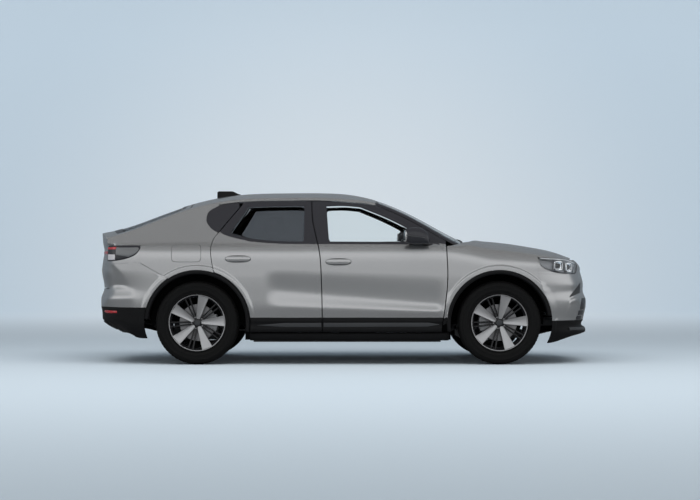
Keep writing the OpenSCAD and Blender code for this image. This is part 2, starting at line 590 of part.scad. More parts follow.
front_inner = concat(
    open_path([[900 - half_gap - edge_inset, door_low_z + edge_inset], [-196 + half_gap + tail_inset,
        door_low_z + edge_inset]], 7),
    open_path(shifted(concat([[-196, door_low_z + edge_inset]], [for (k = [1:4]) middle_line[k]]),
        half_gap + tail_inset), 5),
    open_path(concat([for (k = [4:7]) middle_line[k] + [half_gap + mix(tail_inset, edge_inset,
        ease((middle_line[k][1] - 1055) / 60)), 0]],
        [door_top(-297) + [half_gap + edge_inset, -edge_inset]]), 5),
    [for (k = [0:4]) door_top(mix(-297 + half_gap + edge_inset, 230, k / 5)) - [0, edge_inset]],
    [for (k = [0:5]) door_top(mix(230, 940 - half_gap, k / 6)) - edge_inset * [0.45, 0.9]],
    open_path(shifted(concat([front_line[0] - [0, edge_inset]], [for (k = [1:7]) front_line[k]],
        [front_line[8] + [0, edge_inset]]), -half_gap - edge_inset), 6));
rear_hole = concat(
    open_path([[-385, 1126], [-540, 1128], [-700, 1136]], 5),
    open_path([[-700, 1136], [-860, 1156], [-1020, 1192]], 7),
    open_path([[-1020, 1192], [-1036, 1202], [-1034, 1218]], 4),
    open_path([[-1034, 1218], [-960, 1330], [-892, 1434]], 4),
    open_path([[-892, 1434], [-870, 1448], [-600, 1458], [-378, 1458]], 5),
    open_path([[-378, 1458], [-368, 1446], [-366, 1300], [-368, 1142]], 5),
    open_path([[-368, 1142], [-372, 1130], [-385, 1126]], 5));
rear_arch = trim_radius + shut_gap + 2.5;
rear_arch_end = arch_angle(rear_line[0][0] + shut_gap / 2, rear_line[0][1]);
rear_arch_low = -asin((axle_z - door_low_z) / rear_arch);
rear_rim = concat(
    open_path([[-196 - hinge_gap / 2, door_low_z], [rear_axle_x + rear_arch * cos(rear_arch_low),
        door_low_z]], 5),
    [for (k = [0:6]) let (a = mix(rear_arch_low, rear_arch_end, k / 7)) [rear_axle_x,
        axle_z] + rear_arch * [cos(a), sin(a)]],
    [for (z = rear_heights) [rear_x(z) + shut_gap / 2, z]],
    open_path(shifted(rear_split, shut_gap / 2 + 2), 4),
    [for (k = [0:4]) door_top(mix(-938, -297 - hinge_gap / 2, k / 5))],
    open_path(shifted(concat([door_top(-297)], [for (k = [7:-1:4]) middle_line[k]]), -hinge_gap / 2), 5),
    open_path(shifted([for (k = [4:-1:0]) middle_line[k]], -hinge_gap / 2), 5));
inner_arch = rear_arch + edge_inset;
inner_arch_low = -asin((axle_z - door_low_z - edge_inset) / inner_arch);
rear_inner = concat(
    open_path([[-196 - half_gap - edge_inset, door_low_z + edge_inset],
        [rear_axle_x + inner_arch * cos(inner_arch_low), door_low_z + edge_inset]], 5),
    [for (k = [0:6]) let (a = mix(inner_arch_low, rear_arch_end - 2, k / 7)) [rear_axle_x,
        axle_z] + inner_arch * [cos(a), sin(a)]],
    open_path(shifted(concat([rear_line[0] + [0, edge_inset]], [for (k = [1:6]) rear_line[k]]),
        shut_gap / 2 + edge_inset), 4),
    open_path(shifted(rear_split, shut_gap / 2 + 2 + 1.3 * edge_inset), 4),
    [for (k = [0:4]) door_top(mix(-938 + 1.7 * edge_inset, -297 - half_gap - edge_inset, k / 5)) - [0,
        edge_inset]],
    open_path(shifted(concat([door_top(-297) - [0, edge_inset]], [for (k = [7:-1:4]) middle_line[k]]),
        -half_gap - edge_inset), 5),
    open_path(shifted(concat([for (k = [4:-1:1]) middle_line[k]], [[-196, door_low_z + edge_inset]]),
        -half_gap - edge_inset), 5));
module front_door(s) color(paint) hand(s) {
    door_shell(front_hole, front_rim, front_inner);
    for (z = hinge_heights) hinge_arm(front_hinge_x, z, front_hinge_x - front_box_x(z));
}
module rear_door(s) color(paint) hand(s) {
    door_shell(rear_hole, rear_rim, rear_inner);
    for (z = hinge_heights) hinge_arm(rear_hinge_x, z, rear_hinge_x - rear_box_x(z));
}
function front_box_x(z) = curve([for (k = [8:-1:0]) [front_line[k][1], front_line[k][0]]],
    z) - half_gap - edge_inset - 5;
function rear_box_x(z) = post_x(z) - half_gap - edge_inset - 5;
module front_glass(s) color(tint) hand(s) pane(front_hole, function (p, d) side(p, d), glass_inset,
    glass_inset + glass, seat_gap);
module rear_glass(s) color(tint) hand(s) pane(rear_hole, function (p, d) side(p, d), glass_inset,
    glass_inset + glass, seat_gap);

// Mirror: a rounded housing on a short foot that stands on the door's belt.
// Each section gives [y, middle x, middle z, half length, half height].
mirror_sections = [[858, 650, 1100, 56, 12], [885, 650, 1112, 66, 20], [905, 655, 1150, 108, 50],
    [935, 655, 1174, 124, 72], [968, 655, 1177, 127, 77], [1000, 655, 1179, 120, 73], [1020, 655, 1181,
        102, 60],
    [1030, 655, 1183, 64, 34]];
function mirror_ring(q, seated) = [for (k = [0:11]) let (
    c = cos(30 * k),
    e = sin(30 * k),
    x = q[1] + q[3] * sign(c) * pow(abs(c), 0.6) * (c > 0 ? 1 : 0.85),
    z = q[2] + q[4] * sign(e) * pow(abs(e), 0.7)
) [x, seated ? side_y(x, z) + seat_gap : q[0], z]];
module mirror_housing(s) color(black) hand(s)
    loft([for (k = [0:len(mirror_sections) - 1]) mirror_ring(mirror_sections[k], k == 0)]);

// Bonnet over the nose, hinged below its rear edge.
bonnet_front_x = 2168;
bonnet_turn_x = 1140;
bonnet_turn_y = 690;
bonnet_thick = 12;
function bonnet_rear_x(y) = 1322 - 150 * pow(abs(y) / 720, 2);
function bonnet_front(y) = bonnet_front_x - 90 * pow(abs(y) / 640, 2);
function bonnet_at(p, d) = let (
    e0 = bonnet_edge_y(1400),
    yr = p[1] * e0,
    x = mix(bonnet_rear_x(yr), bonnet_front(p[1] * 560), p[0]),
    y = p[1] * min(bonnet_edge_y(x), x > 1750 ? mix(bonnet_edge_y(x), 590, ease((x - 1750) / 420)) : 9999)
) [x, y, edge_z(x, abs(y)) - d];
bonnet_turn_z = edge_z(bonnet_turn_x + 44, bonnet_turn_y) - 34;
// Cross hinge seen from its end: barrel with an arm, and the lugs and pin that carry it.
module cross_barrel(outline) difference() {
    linear_extrude(barrel_length, center = true) union() {
        circle(r = barrel_radius);
        polygon(outline);
    }
    cylinder(h = barrel_length + 2, r = pin_radius + running, center = true);
}
module cross_lugs(outline) {
    for (s = [-1, 1]) translate([0, 0, s * (hinge_span() + lug / 2)]) linear_extrude(lug,
        center = true) union() {
        circle(r = barrel_radius);
        polygon(outline);
    }
    cylinder(h = 2 * hinge_span() + lug, r = pin_radius, center = true);
}
module at_bonnet_hinge() both() translate([bonnet_turn_x, bonnet_turn_y, bonnet_turn_z]) rotate([90, 0,
    0]) children();
bonnet_arm_z = edge_z(bonnet_turn_x + 90, bonnet_turn_y) - bonnet_thick - seat_gap - bonnet_turn_z;
module bonnet() {
    grid = [for (i = [0:12]) [for (j = [0:12]) [i / 12, mix(-1, 1, j / 12)]]];
    color(paint) {
        panel(grid, function (p, d) bonnet_at(p, d), 0, bonnet_thick);
        at_bonnet_hinge() cross_barrel([[0, -7], [60, -7], [120, bonnet_arm_z - 14], [120,
            bonnet_arm_z - 6], [60, bonnet_arm_z - 1], [52, 2], [0, 7]]);
    }
}

// Tailgate: sloping glass frame, lip and upright rear face in one bent panel.
gate_top_x = roof_rear_x - hinge_gap;
gate_low_z = 696;
lip_x = -2300;
lip_z = 1219;
gate_side = rail_width + shut_gap;
gate_low_half = face_y * 0.985 - 16;
gate_thick = 24;
function tail_x(y, z) = mix(tail_start, curve(tail_line, z), pow(1 - pow(min(1, y / 880), tail_power),
    1 / tail_power));
// The second parameter runs from 0 at the hinge to 1 at the lip, then to 2 at the lower edge.
function gate_half(v) = v < 1 ? crease_y(mix(gate_top_x, -2170, v)) - gate_side
    : mix(crease_y(-2170) - gate_side, gate_low_half, ease((v - 1) * 3));
function gate_at(p, d) = let (
    v = p[1],
    y = p[0] * gate_half(v),
    xc = mix(gate_top_x, lip_x, v),
    xs = xc + (tail_x(abs(y), lip_z) - lip_x) * v,
    zr = mix(roof_z(lip_x, y) - 6, gate_low_z, v - 1)
) v <= 1 ? [xs + d * ease((v - 0.75) * 4), y, roof_z(xc, y) - d]
    : [tail_x(abs(y), zr) + d, y, zr - d * ease((1.12 - v) / 0.12)];
gate_hole = concat(
    open_path([[-0.86, 0.12], [0, 0.10], [0.86, 0.12]], 8),
    open_path([[0.86, 0.12], [0.88, 0.15], [0.88, 0.74], [0.87, 0.77]], 5),
    open_path([[0.87, 0.77], [0.86, 0.78]], 5),
    open_path([[0.86, 0.78], [0, 0.80], [-0.86, 0.78]], 8),
    open_path([[-0.86, 0.78], [-0.87, 0.77]], 5),
    open_path([[-0.87, 0.77], [-0.88, 0.74], [-0.88, 0.15], [-0.86, 0.12]], 5));
gate_rim = concat(line([-1, 0], [0.75, 0], 7), line([1, 0], [1, 0.8], 4), line([1, 1], [1, 1.8], 4),
    line([1, 2], [-0.75, 2], 7), line([-1, 2], [-1, 1.2], 4), line([-1, 1], [-1, 0.2], 4));
function bend(h, r) = r[1] > 1 ? (1 - h[1]) / (r[1] - h[1]) : 0.3;
function gate_profile(h, r) = let (u = bend(h, r))
    concat([[0, 0], [u / 2, 0], [u, 0]], [for (k = [1:6]) [mix(u, 1, k / 6), 0]],
        [for (k = [6:-2:2]) [mix(u, 1, k / 6), gate_thick]], [[u, gate_thick], [0, gate_thick]]);
gate_turn_y = 400;
gate_slope = 15.5;
gate_ahead = 60;
gate_below = 20;
gate_arm_top = gate_below - gate_thick + 8;
gate_skin = [gate_top_x, roof_z(gate_top_x, gate_turn_y)];
gate_turn = gate_skin + gate_ahead * [cos(gate_slope),
    sin(gate_slope)] + gate_below * [sin(gate_slope), -cos(gate_slope)];
module at_gate_hinge() both() translate([gate_turn[0], gate_turn_y, gate_turn[1]]) rotate([0,
    -gate_slope, 0]) rotate([90, 0, 0]) children();
module tailgate() color(paint) {
    ring_panel(gate_hole, gate_rim, function (p, d) gate_at(p, d), function (h, r) gate_profile(h, r));
    at_gate_hinge() cross_barrel([[-5, 0], [5, 0], [5, -68], [-96, -68], [-96, gate_arm_top],
        [-84, gate_arm_top], [-84, -57], [-5, -57]]);
}
module rear_window() color(tint) pane(gate_hole, function (p, d) gate_at(p, d), 4, 4 + glass, 0.002);

// Flap over the charging inlet on the right rear quarter, on a small upright hinge.
flap_ahead = 30;
flap_below = 14;
flap_thick = 4;
flap_barrel = 4;
flap_hinge_x = flap_mid[0] + flap_size[0] / 2 + flap_ahead;
flap_hinge_y = side_y(flap_mid[0] + flap_size[0] / 2, flap_mid[1]) - flap_below;
flap_hinge_z = flap_mid[1] - 20;
flap_pin = 2;
module at_flap_hinge() mirror([0, 1, 0]) translate([flap_hinge_x, flap_hinge_y, flap_hinge_z]) children();
module charge_flap() {
    loop = rounded(flap_mid, flap_size, flap_round, 4);
    foot = flap_below - flap_thick - 2.2;
    color(paint) {
        mirror([0, 1, 0]) pane(loop, function (p, d) side(p, d), 0, flap_thick, 0);
        at_flap_hinge() difference() {
            linear_extrude(barrel_length, center = true) union() {
                circle(r = flap_barrel);
                polygon([[-3, 0], [3, 0], [6, -32], [-60, -32], [-60, foot], [-52, foot], [-52, -26],
                    [0, -26]]);
            }
            cylinder(h = barrel_length + 2, r = flap_pin + running, center = true);
        }
    }
}
module flap_bracket() at_flap_hinge() {
    for (s = [-1, 1]) translate([0, 0, s * (hinge_span() + lug / 2)]) linear_extrude(lug,
        center = true) union() {
        circle(r = flap_barrel);
        square([2 * flap_barrel, 2 * (flap_below - skin - 2 * seat_gap)], center = true);
    }
    cylinder(h = 2 * hinge_span() + lug, r = flap_pin, center = true);
}

// Floor with the raised load floor, beams behind the bumpers, battery and sills.
floor_thick = 12;
floor_half = 690;
load_z = 630;
load_half = rear_liner_y - 20;
kick_x = -1000;
beam_depth = 60;
tongue_x = 62 - half_length;
module floor_pan() color([0.2, 0.2, 0.21]) {
    translate([-860, -floor_half, floor_z]) cube([1870, 2 * floor_half, floor_thick]);
    rotate([90, 0, 0]) linear_extrude(2 * load_half, center = true) polygon([[-850, floor_z], [kick_x,
        floor_z],
        [kick_x - 80, load_z], [-1800, load_z], [-1800, load_z + floor_thick], [kick_x - 70,
            load_z + floor_thick],
        [kick_x + 8, floor_z + floor_thick], [-850, floor_z + floor_thick]]);
    translate([tongue_x, -400, load_z]) cube([-1795 - tongue_x, 800, floor_thick]);
    panel([for (t = [tail_rows[1], tail_rows[5]]) [for (k = [7:11])
        [tail_steps[k], mix(bumper_rear_low, tail_panel_z, t)]]], function (p, d) tail(p, d),
        skin + seat_gap, beam_depth);
}
pack_low_z = 196;
module battery_pack() color([0.3, 0.31, 0.32]) difference() {
    translate([-840, -640, pack_low_z]) cube([1740, 1280, floor_z - pack_low_z - seat_gap]);
    for (x = [-600, -200, 200, 600]) translate([x, -600, pack_low_z - 6]) cube([14, 1200, 12]);
}
jack_x = [-760, 780];
jack_y = 770;
sill_low_z = 218;
module side_sills() color(black) both() difference() {
    translate([-850, floor_half + seat_gap, sill_low_z]) cube([1800, 182, sill_top - sill_low_z]);
    for (x = jack_x) translate([x - 40, jack_y - 30, sill_low_z - 1]) cube([80, 60, 9]);
}
// Bulkhead with the hinge posts for the front doors, and the rails to the front beam.
bulkhead_x = 1024;
bulkhead_top = 1040;
post_foot_z = 645;
front_beam = [for (j = [2, 3]) mix(cladding_low_z, bumper_low_z - seat_gap, j / 4)];
rail_low_z = front_beam[0];
module bulkhead() color([0.25, 0.25, 0.26]) {
    translate([bulkhead_x + 14, 0, 0]) rotate([90, 0, -90]) linear_extrude(14)
        polygon([[-460, floor_z], [460, floor_z], [460, 640], [790, 640], [790, bulkhead_top],
            [-790, bulkhead_top], [-790, 640], [-460, 640]]);
    both() {
        translate([bulkhead_x + 4, 390, rail_low_z]) cube([1150, 55, front_beam[1] - rail_low_z]);
        translate([bulkhead_x + 4, 820, 862]) cube([24, side_y(bulkhead_x + 16,
            862) - skin - 4 * seat_gap - 820, 10]);
        translate([front_hinge_x + hinge_post_gap, 774, bulkhead_top - 1])
            cube([19, 30, crease_z(rail_front_x) - rail_drop - 10 - seat_gap - bulkhead_top + 1]);
        translate([front_hinge_x + hinge_post_gap, 780, post_foot_z]) cube([34, 87,
            bulkhead_top - post_foot_z]);
        for (z = hinge_heights) hinge_bracket(front_hinge_x, z,
            function (h) front_hinge_x + hinge_post_gap);
    }
    panel(band(front_beam[0], front_beam[1], 8, 1, -4 / 6, 4 / 6), function (p, d) nose(p, d),
        cladding_thick + seat_gap, cladding_thick + beam_depth);
    at_bonnet_hinge() cross_lugs([[-6, 7], [7, 0], [7, -24], [-86, bulkhead_top - bonnet_turn_z],
        [-116, bulkhead_top - bonnet_turn_z], [-116, bulkhead_top + 18 - bonnet_turn_z], [-50, -26]]);
}

// Cabin fittings.
module dashboard() color(black) rotate([90, 0, 0]) linear_extrude(1360, center = true)
    polygon([[bulkhead_x - seat_gap, 760], [bulkhead_x - seat_gap, 1030], [960, 1062], [820, 1050],
        [695.4, 1009.5],
        [638.5, 881.6], [690, 840], [800, 800]]);
grip = 15;
wheel_mid = [520, 370, 1000];
wheel_tilt = 66;
column = 156;
module steering_wheel() color(black) translate(wheel_mid) rotate([0, -wheel_tilt, 0]) {
    rotate_extrude() translate([wheel_grip_radius - grip, 0]) circle(r = grip, $fn = 24);
    difference() {
        translate([0, 0, -18]) cylinder(h = 30, r = 62);
        translate([0, 0, 6]) cylinder(h = 10, r = 40);
    }
    translate([0, 0, -column]) cylinder(h = column - 18, r = 28);
    for (a = [90, -90, 180]) rotate([0, 0, a]) translate([55, -17, -9])
        cube([wheel_grip_radius - 55 - 1.6 * grip, 34, 14]);
}
seat_low_z = floor_z + floor_thick + seat_gap;
module seat(x, w) translate([x, w / 2, seat_low_z]) rotate([90, 0, 0]) linear_extrude(w)
    polygon([[-230, 0], [180, 0], [230, 190], [250, 260], [180, 290], [-130, 250], [-330, 830], [-350,
        1000],
        [-400, 1010], [-430, 960], [-420, 830], [-330, 360], [-270, 300]]);
module seats() color(cloth) {
    for (s = [-1, 1]) translate([0, s * 370, 0]) seat(120, seat_width);
    seat(-740, 1240);
}

// Running gear below the floor.
arm_z = 250;
arm_thick = 24;
front_frame_z = 220;
rear_frame_z = 210;
frame_thick = 60;
kingpin_radius = 16;
kingpin_top = 310;
spindle = 30;
spindle_end = half_track + 18;
carrier_start = half_track - 170;
carrier_end = half_track - 81;
module subframes() color([0.18, 0.18, 0.19]) {
    translate([1100, -380, front_frame_z]) cube([640, 760, frame_thick]);
    translate([-1640, -420, rear_frame_z]) cube([560, 840, frame_thick]);
    both() {
        translate([1120, 392, front_frame_z + 20]) cube([50, 40,
            rail_low_z - front_frame_z - 20 - seat_gap]);
        translate([1120, 370, front_frame_z + 20]) cube([50, 40, 30]);
        translate([front_axle_x - 40, 370, arm_z]) cube([80, kingpin_y - 20 - 370, arm_thick]);
        translate([front_axle_x, kingpin_y - 20, arm_z]) cylinder(h = arm_thick, r = 40);
        translate([front_axle_x, kingpin_y, arm_z]) cylinder(h = kingpin_top - arm_z, r = kingpin_radius);
        translate([-1600, 360, rear_frame_z + 30]) cube([60, 50, load_z - rear_frame_z - 30 - seat_gap]);
        rear_carrier();
    }
}
module rear_carrier() {
    translate([rear_axle_x - 40, 410, 240]) cube([80, carrier_start - 400, arm_thick]);
    translate([rear_axle_x - 30, carrier_start - 70, 240]) cube([60, 90, 90]);
    translate([rear_axle_x, carrier_start, axle_z]) rotate([-90, 0, 0])
        cylinder(h = carrier_end - carrier_start + 1, r = 70);
    translate([rear_axle_x, carrier_end, axle_z]) rotate([-90, 0, 0])
        cylinder(h = spindle_end - carrier_end, r = spindle - running);
    translate([rear_axle_x, 300, axle_z]) rotate([-90, 0, 0]) cylinder(h = carrier_start + 1 - 300, r = 22);
}
module drive_units() color(metal) {
    translate([front_axle_x - 180, -290, front_frame_z + frame_thick + seat_gap]) cube([360, 580, 330]);
    translate([rear_axle_x - 170, -299, rear_frame_z + frame_thick + seat_gap]) cube([340, 598, 330]);
}
module knuckle(s) color([0.35, 0.35, 0.36]) hand(s) {
    low = arm_z + arm_thick + seat_gap;
    difference() {
        translate([front_axle_x, kingpin_y, low]) cylinder(h = 200, r = 34);
        translate([front_axle_x, kingpin_y, low - 1]) cylinder(h = kingpin_top + 2 - low,
            r = kingpin_radius + running);
    }
    translate([front_axle_x, kingpin_y + 20, axle_z]) rotate([-90, 0, 0])
        cylinder(h = spindle_end - kingpin_y - 20, r = spindle - running);
}

// Tyres with rounded shoulders; rims with broad spokes, hub and brake disc.
module turned(x, s) translate([x, s * half_track, axle_z]) rotate([s > 0 ? -90 : 90, 0, 0]) children();
tyre_round = 34;
module tyre(x, s) color([0.06, 0.06, 0.065]) turned(x, s) rotate_extrude($fn = 96) difference() {
    translate([rim_radius + 4, -tyre_width / 2]) square([tyre_radius - rim_radius - 4, tyre_width]);
    for (m = [0, 1]) mirror([0, m]) translate([tyre_radius - tyre_round, tyre_width / 2 - tyre_round])
        difference() {
            square(tyre_round + 1);
            circle(r = tyre_round, $fn = 48);
        }
    for (y = [-62, -21, 21, 62]) translate([tyre_radius - 8, y - 5]) square([9, 10]);
}
rim_depth = 215;
spoke_depth = 30;
hub_start = -28;
module rim(x, s) color(metal) turned(x, s) difference() {
    union() {
        rotate_extrude($fn = 96) translate([rim_radius - 14, -rim_depth / 2]) square([17.6, rim_depth]);
        translate([0, 0, hub_start]) cylinder(h = 108, r = 66);
        for (k = [0:spoke_count - 1]) rotate([0, 0, 90 + k * 360 / spoke_count]) translate([0, 0, 62])
            linear_extrude(spoke_depth)
                polygon([[40, -34], [rim_radius - 10, -62], [rim_radius - 10, 62], [40, 34]]);
        translate([0, 0, hub_start]) cylinder(h = 24, r = 168);
    }
    translate([0, 0, hub_start - 1]) cylinder(h = 20 - hub_start + 1, r = spindle);
}
floor_pan();
battery_pack();
side_sills();
bulkhead();
side_frames();
b_pillars();
roof();
c_pillars();
quarters();
fenders();
bumper_front();
grille();
cladding_front();
bumper_rear();
cladding_rear();
arch_trims();
wheel_liners();
cowl();
windscreen();
quarter_windows();
headlamps();
tail_lamps();
dashboard();
steering_wheel();
seats();
subframes();
drive_units();
knuckle(1);  // knuckle_left
knuckle(-1);  // knuckle_right
tyre(front_axle_x, 1);  // tyre_front_left
tyre(front_axle_x, -1);  // tyre_front_right
tyre(rear_axle_x, 1);  // tyre_rear_left
tyre(rear_axle_x, -1);  // tyre_rear_right
rim(front_axle_x, 1);  // rim_front_left
rim(front_axle_x, -1);  // rim_front_right
rim(rear_axle_x, 1);  // rim_rear_left
rim(rear_axle_x, -1);  // rim_rear_right
front_door(1);  // door_front_left
front_door(-1);  // door_front_right
rear_door(1);  // door_rear_left
rear_door(-1);  // door_rear_right
front_glass(1);  // glass_front_left
front_glass(-1);  // glass_front_right
rear_glass(1);  // glass_rear_left
rear_glass(-1);  // glass_rear_right
mirror_housing(1);  // mirror_left
mirror_housing(-1);  // mirror_right
bonnet();
tailgate();
rear_window();
charge_flap();
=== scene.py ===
"""Looks of a coupe sport utility vehicle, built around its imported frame.

Every surface is worked out in millimetres from the body's own formulas, as whole
arrays, and is put into its mesh in metres. Frame: +X forward, +Y left, +Z up.
"""

import json  # noqa: E402
import logging  # noqa: E402
import math  # noqa: E402
from dataclasses import dataclass  # noqa: E402
from enum import Enum  # noqa: E402
from typing import Callable, Iterable, Sequence  # noqa: E402

import bpy  # noqa: E402
import numpy as np  # noqa: E402
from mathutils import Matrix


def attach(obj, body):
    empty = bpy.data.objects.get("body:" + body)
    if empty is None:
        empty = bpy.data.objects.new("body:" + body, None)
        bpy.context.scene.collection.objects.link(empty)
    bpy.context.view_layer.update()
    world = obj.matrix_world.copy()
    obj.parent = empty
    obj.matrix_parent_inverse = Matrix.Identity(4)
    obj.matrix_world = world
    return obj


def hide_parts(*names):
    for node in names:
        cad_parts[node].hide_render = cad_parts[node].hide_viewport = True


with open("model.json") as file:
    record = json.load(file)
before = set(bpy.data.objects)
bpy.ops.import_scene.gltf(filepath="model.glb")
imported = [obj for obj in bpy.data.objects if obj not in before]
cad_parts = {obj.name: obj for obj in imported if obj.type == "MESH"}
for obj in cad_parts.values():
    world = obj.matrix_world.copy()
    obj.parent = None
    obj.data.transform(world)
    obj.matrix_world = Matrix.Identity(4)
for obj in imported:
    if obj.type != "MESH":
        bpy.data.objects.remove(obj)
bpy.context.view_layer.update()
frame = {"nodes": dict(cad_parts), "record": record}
LOG = logging.getLogger("coupe")
METRES = 0.001

Array = np.ndarray
Pairs = Sequence[tuple[float, float]]


class Hand(Enum):
    """Side of the car; the value is the sign of Y."""

    LEFT = 1
    RIGHT = -1

    @property
    def word(self) -> str:
        """Name of the side as nodes and bodies spell it."""
        return self.name.lower()


HANDS = (Hand.LEFT, Hand.RIGHT)


def mix(a: Array | float, b: Array | float, t: Array | float) -> Array:
    """Straight mix of a and b by the share t."""
    return a + (b - a) * t


def ease(t: Array | float) -> Array:
    """Share that starts and ends gently: 3t² - 2t³, held within 0 and 1."""
    u = np.clip(t, 0.0, 1.0)
    return u * u * (3.0 - 2.0 * u)


@dataclass(frozen=True)
class Curve:
    """Smooth curve through (position, value) pairs, level past its ends.

    Each span is a cubic whose end slopes are those of the neighbouring pairs.
    """

    pairs: Pairs
    soft: float = 0.0

    def _raw(self, x: Array) -> Array:
        """Cubic curve before softening."""
        p = np.asarray(self.pairs, float)
        xs, ys = p[:, 0], p[:, 1]
        ends = np.arange(len(xs))
        low, high = np.maximum(ends - 1, 0), np.minimum(ends + 1, len(xs) - 1)
        slope = (ys[high] - ys[low]) / (xs[high] - xs[low])
        i = np.clip(np.searchsorted(xs, x, side="right") - 1, 0, len(xs) - 2)
        h = xs[i + 1] - xs[i]
        t = np.clip((x - xs[i]) / h, 0.0, 1.0)
        return (mix(ys[i], ys[i + 1], ease(t)) + slope[i] * h * t * (1 - t) ** 2
                + slope[i + 1] * h * t * t * (t - 1))

    def __call__(self, x: Array | float) -> Array:
        """Value at x, a mean over a short stretch where the curve is softened.

        Args:
            x: Positions.

        Returns:
            Values of the same shape.
        """
        x = np.asarray(x, float)
        if not self.soft:
            return self._raw(x)
        offsets, weights = (-1.5, -0.75, 0.0, 0.75, 1.5), (0.1, 0.23, 0.34, 0.23, 0.1)
        return sum(w * self._raw(x + o * self.soft) for o, w in zip(offsets, weights))


def smooth_path(points: Pairs, count: int) -> Array:
    """Points at even steps of the parameter along a smooth line through points.

    Args:
        points: Points the line passes through.
        count: Number of points wanted, both ends included.

    Returns:
        Array of count points.
    """
    p = np.asarray(points, float)
    t = np.linspace(0, len(p) - 1, count)
    axes = [Curve(list(zip(range(len(p)), p[:, k])))(t) for k in range(p.shape[1])]
    return np.stack(axes, axis=1)


def even_path(points: Array, count: int) -> Array:
    """Points at even steps of length along a line of straight pieces."""
    p = np.asarray(points, float)
    run = np.concatenate([[0.0], np.cumsum(np.linalg.norm(np.diff(p, axis=0), axis=1))])
    t = np.linspace(0, run[-1], count)
    return np.stack([np.interp(t, run, p[:, k]) for k in range(p.shape[1])], axis=1)


def arc(centre: Sequence[float], radius: float, start: float, end: float, count: int) -> Array:
    """Points on a circle from one angle to another, in degrees."""
    t = np.radians(np.linspace(start, end, count))
    return np.stack([centre[0] + radius * np.cos(t), centre[1] + radius * np.sin(t)], axis=1)


def patch(low: Array, high: Array, left: Array, right: Array) -> Array:
    """Grid filled in between four edges: sum of both straight mixes less the corner mix.

    Args:
        low, high: Edges that run along the columns.
        left, right: Edges that run along the rows.

    Returns:
        Array of rows by columns by coordinates.
    """
    u = np.linspace(0, 1, len(low))[None, :, None]
    v = np.linspace(0, 1, len(left))[:, None, None]
    across = mix(low[None], high[None], v)
    along = mix(left[:, None], right[:, None], u)
    corners = mix(mix(low[0], low[-1], u), mix(high[0], high[-1], u), v)
    return across + along - corners


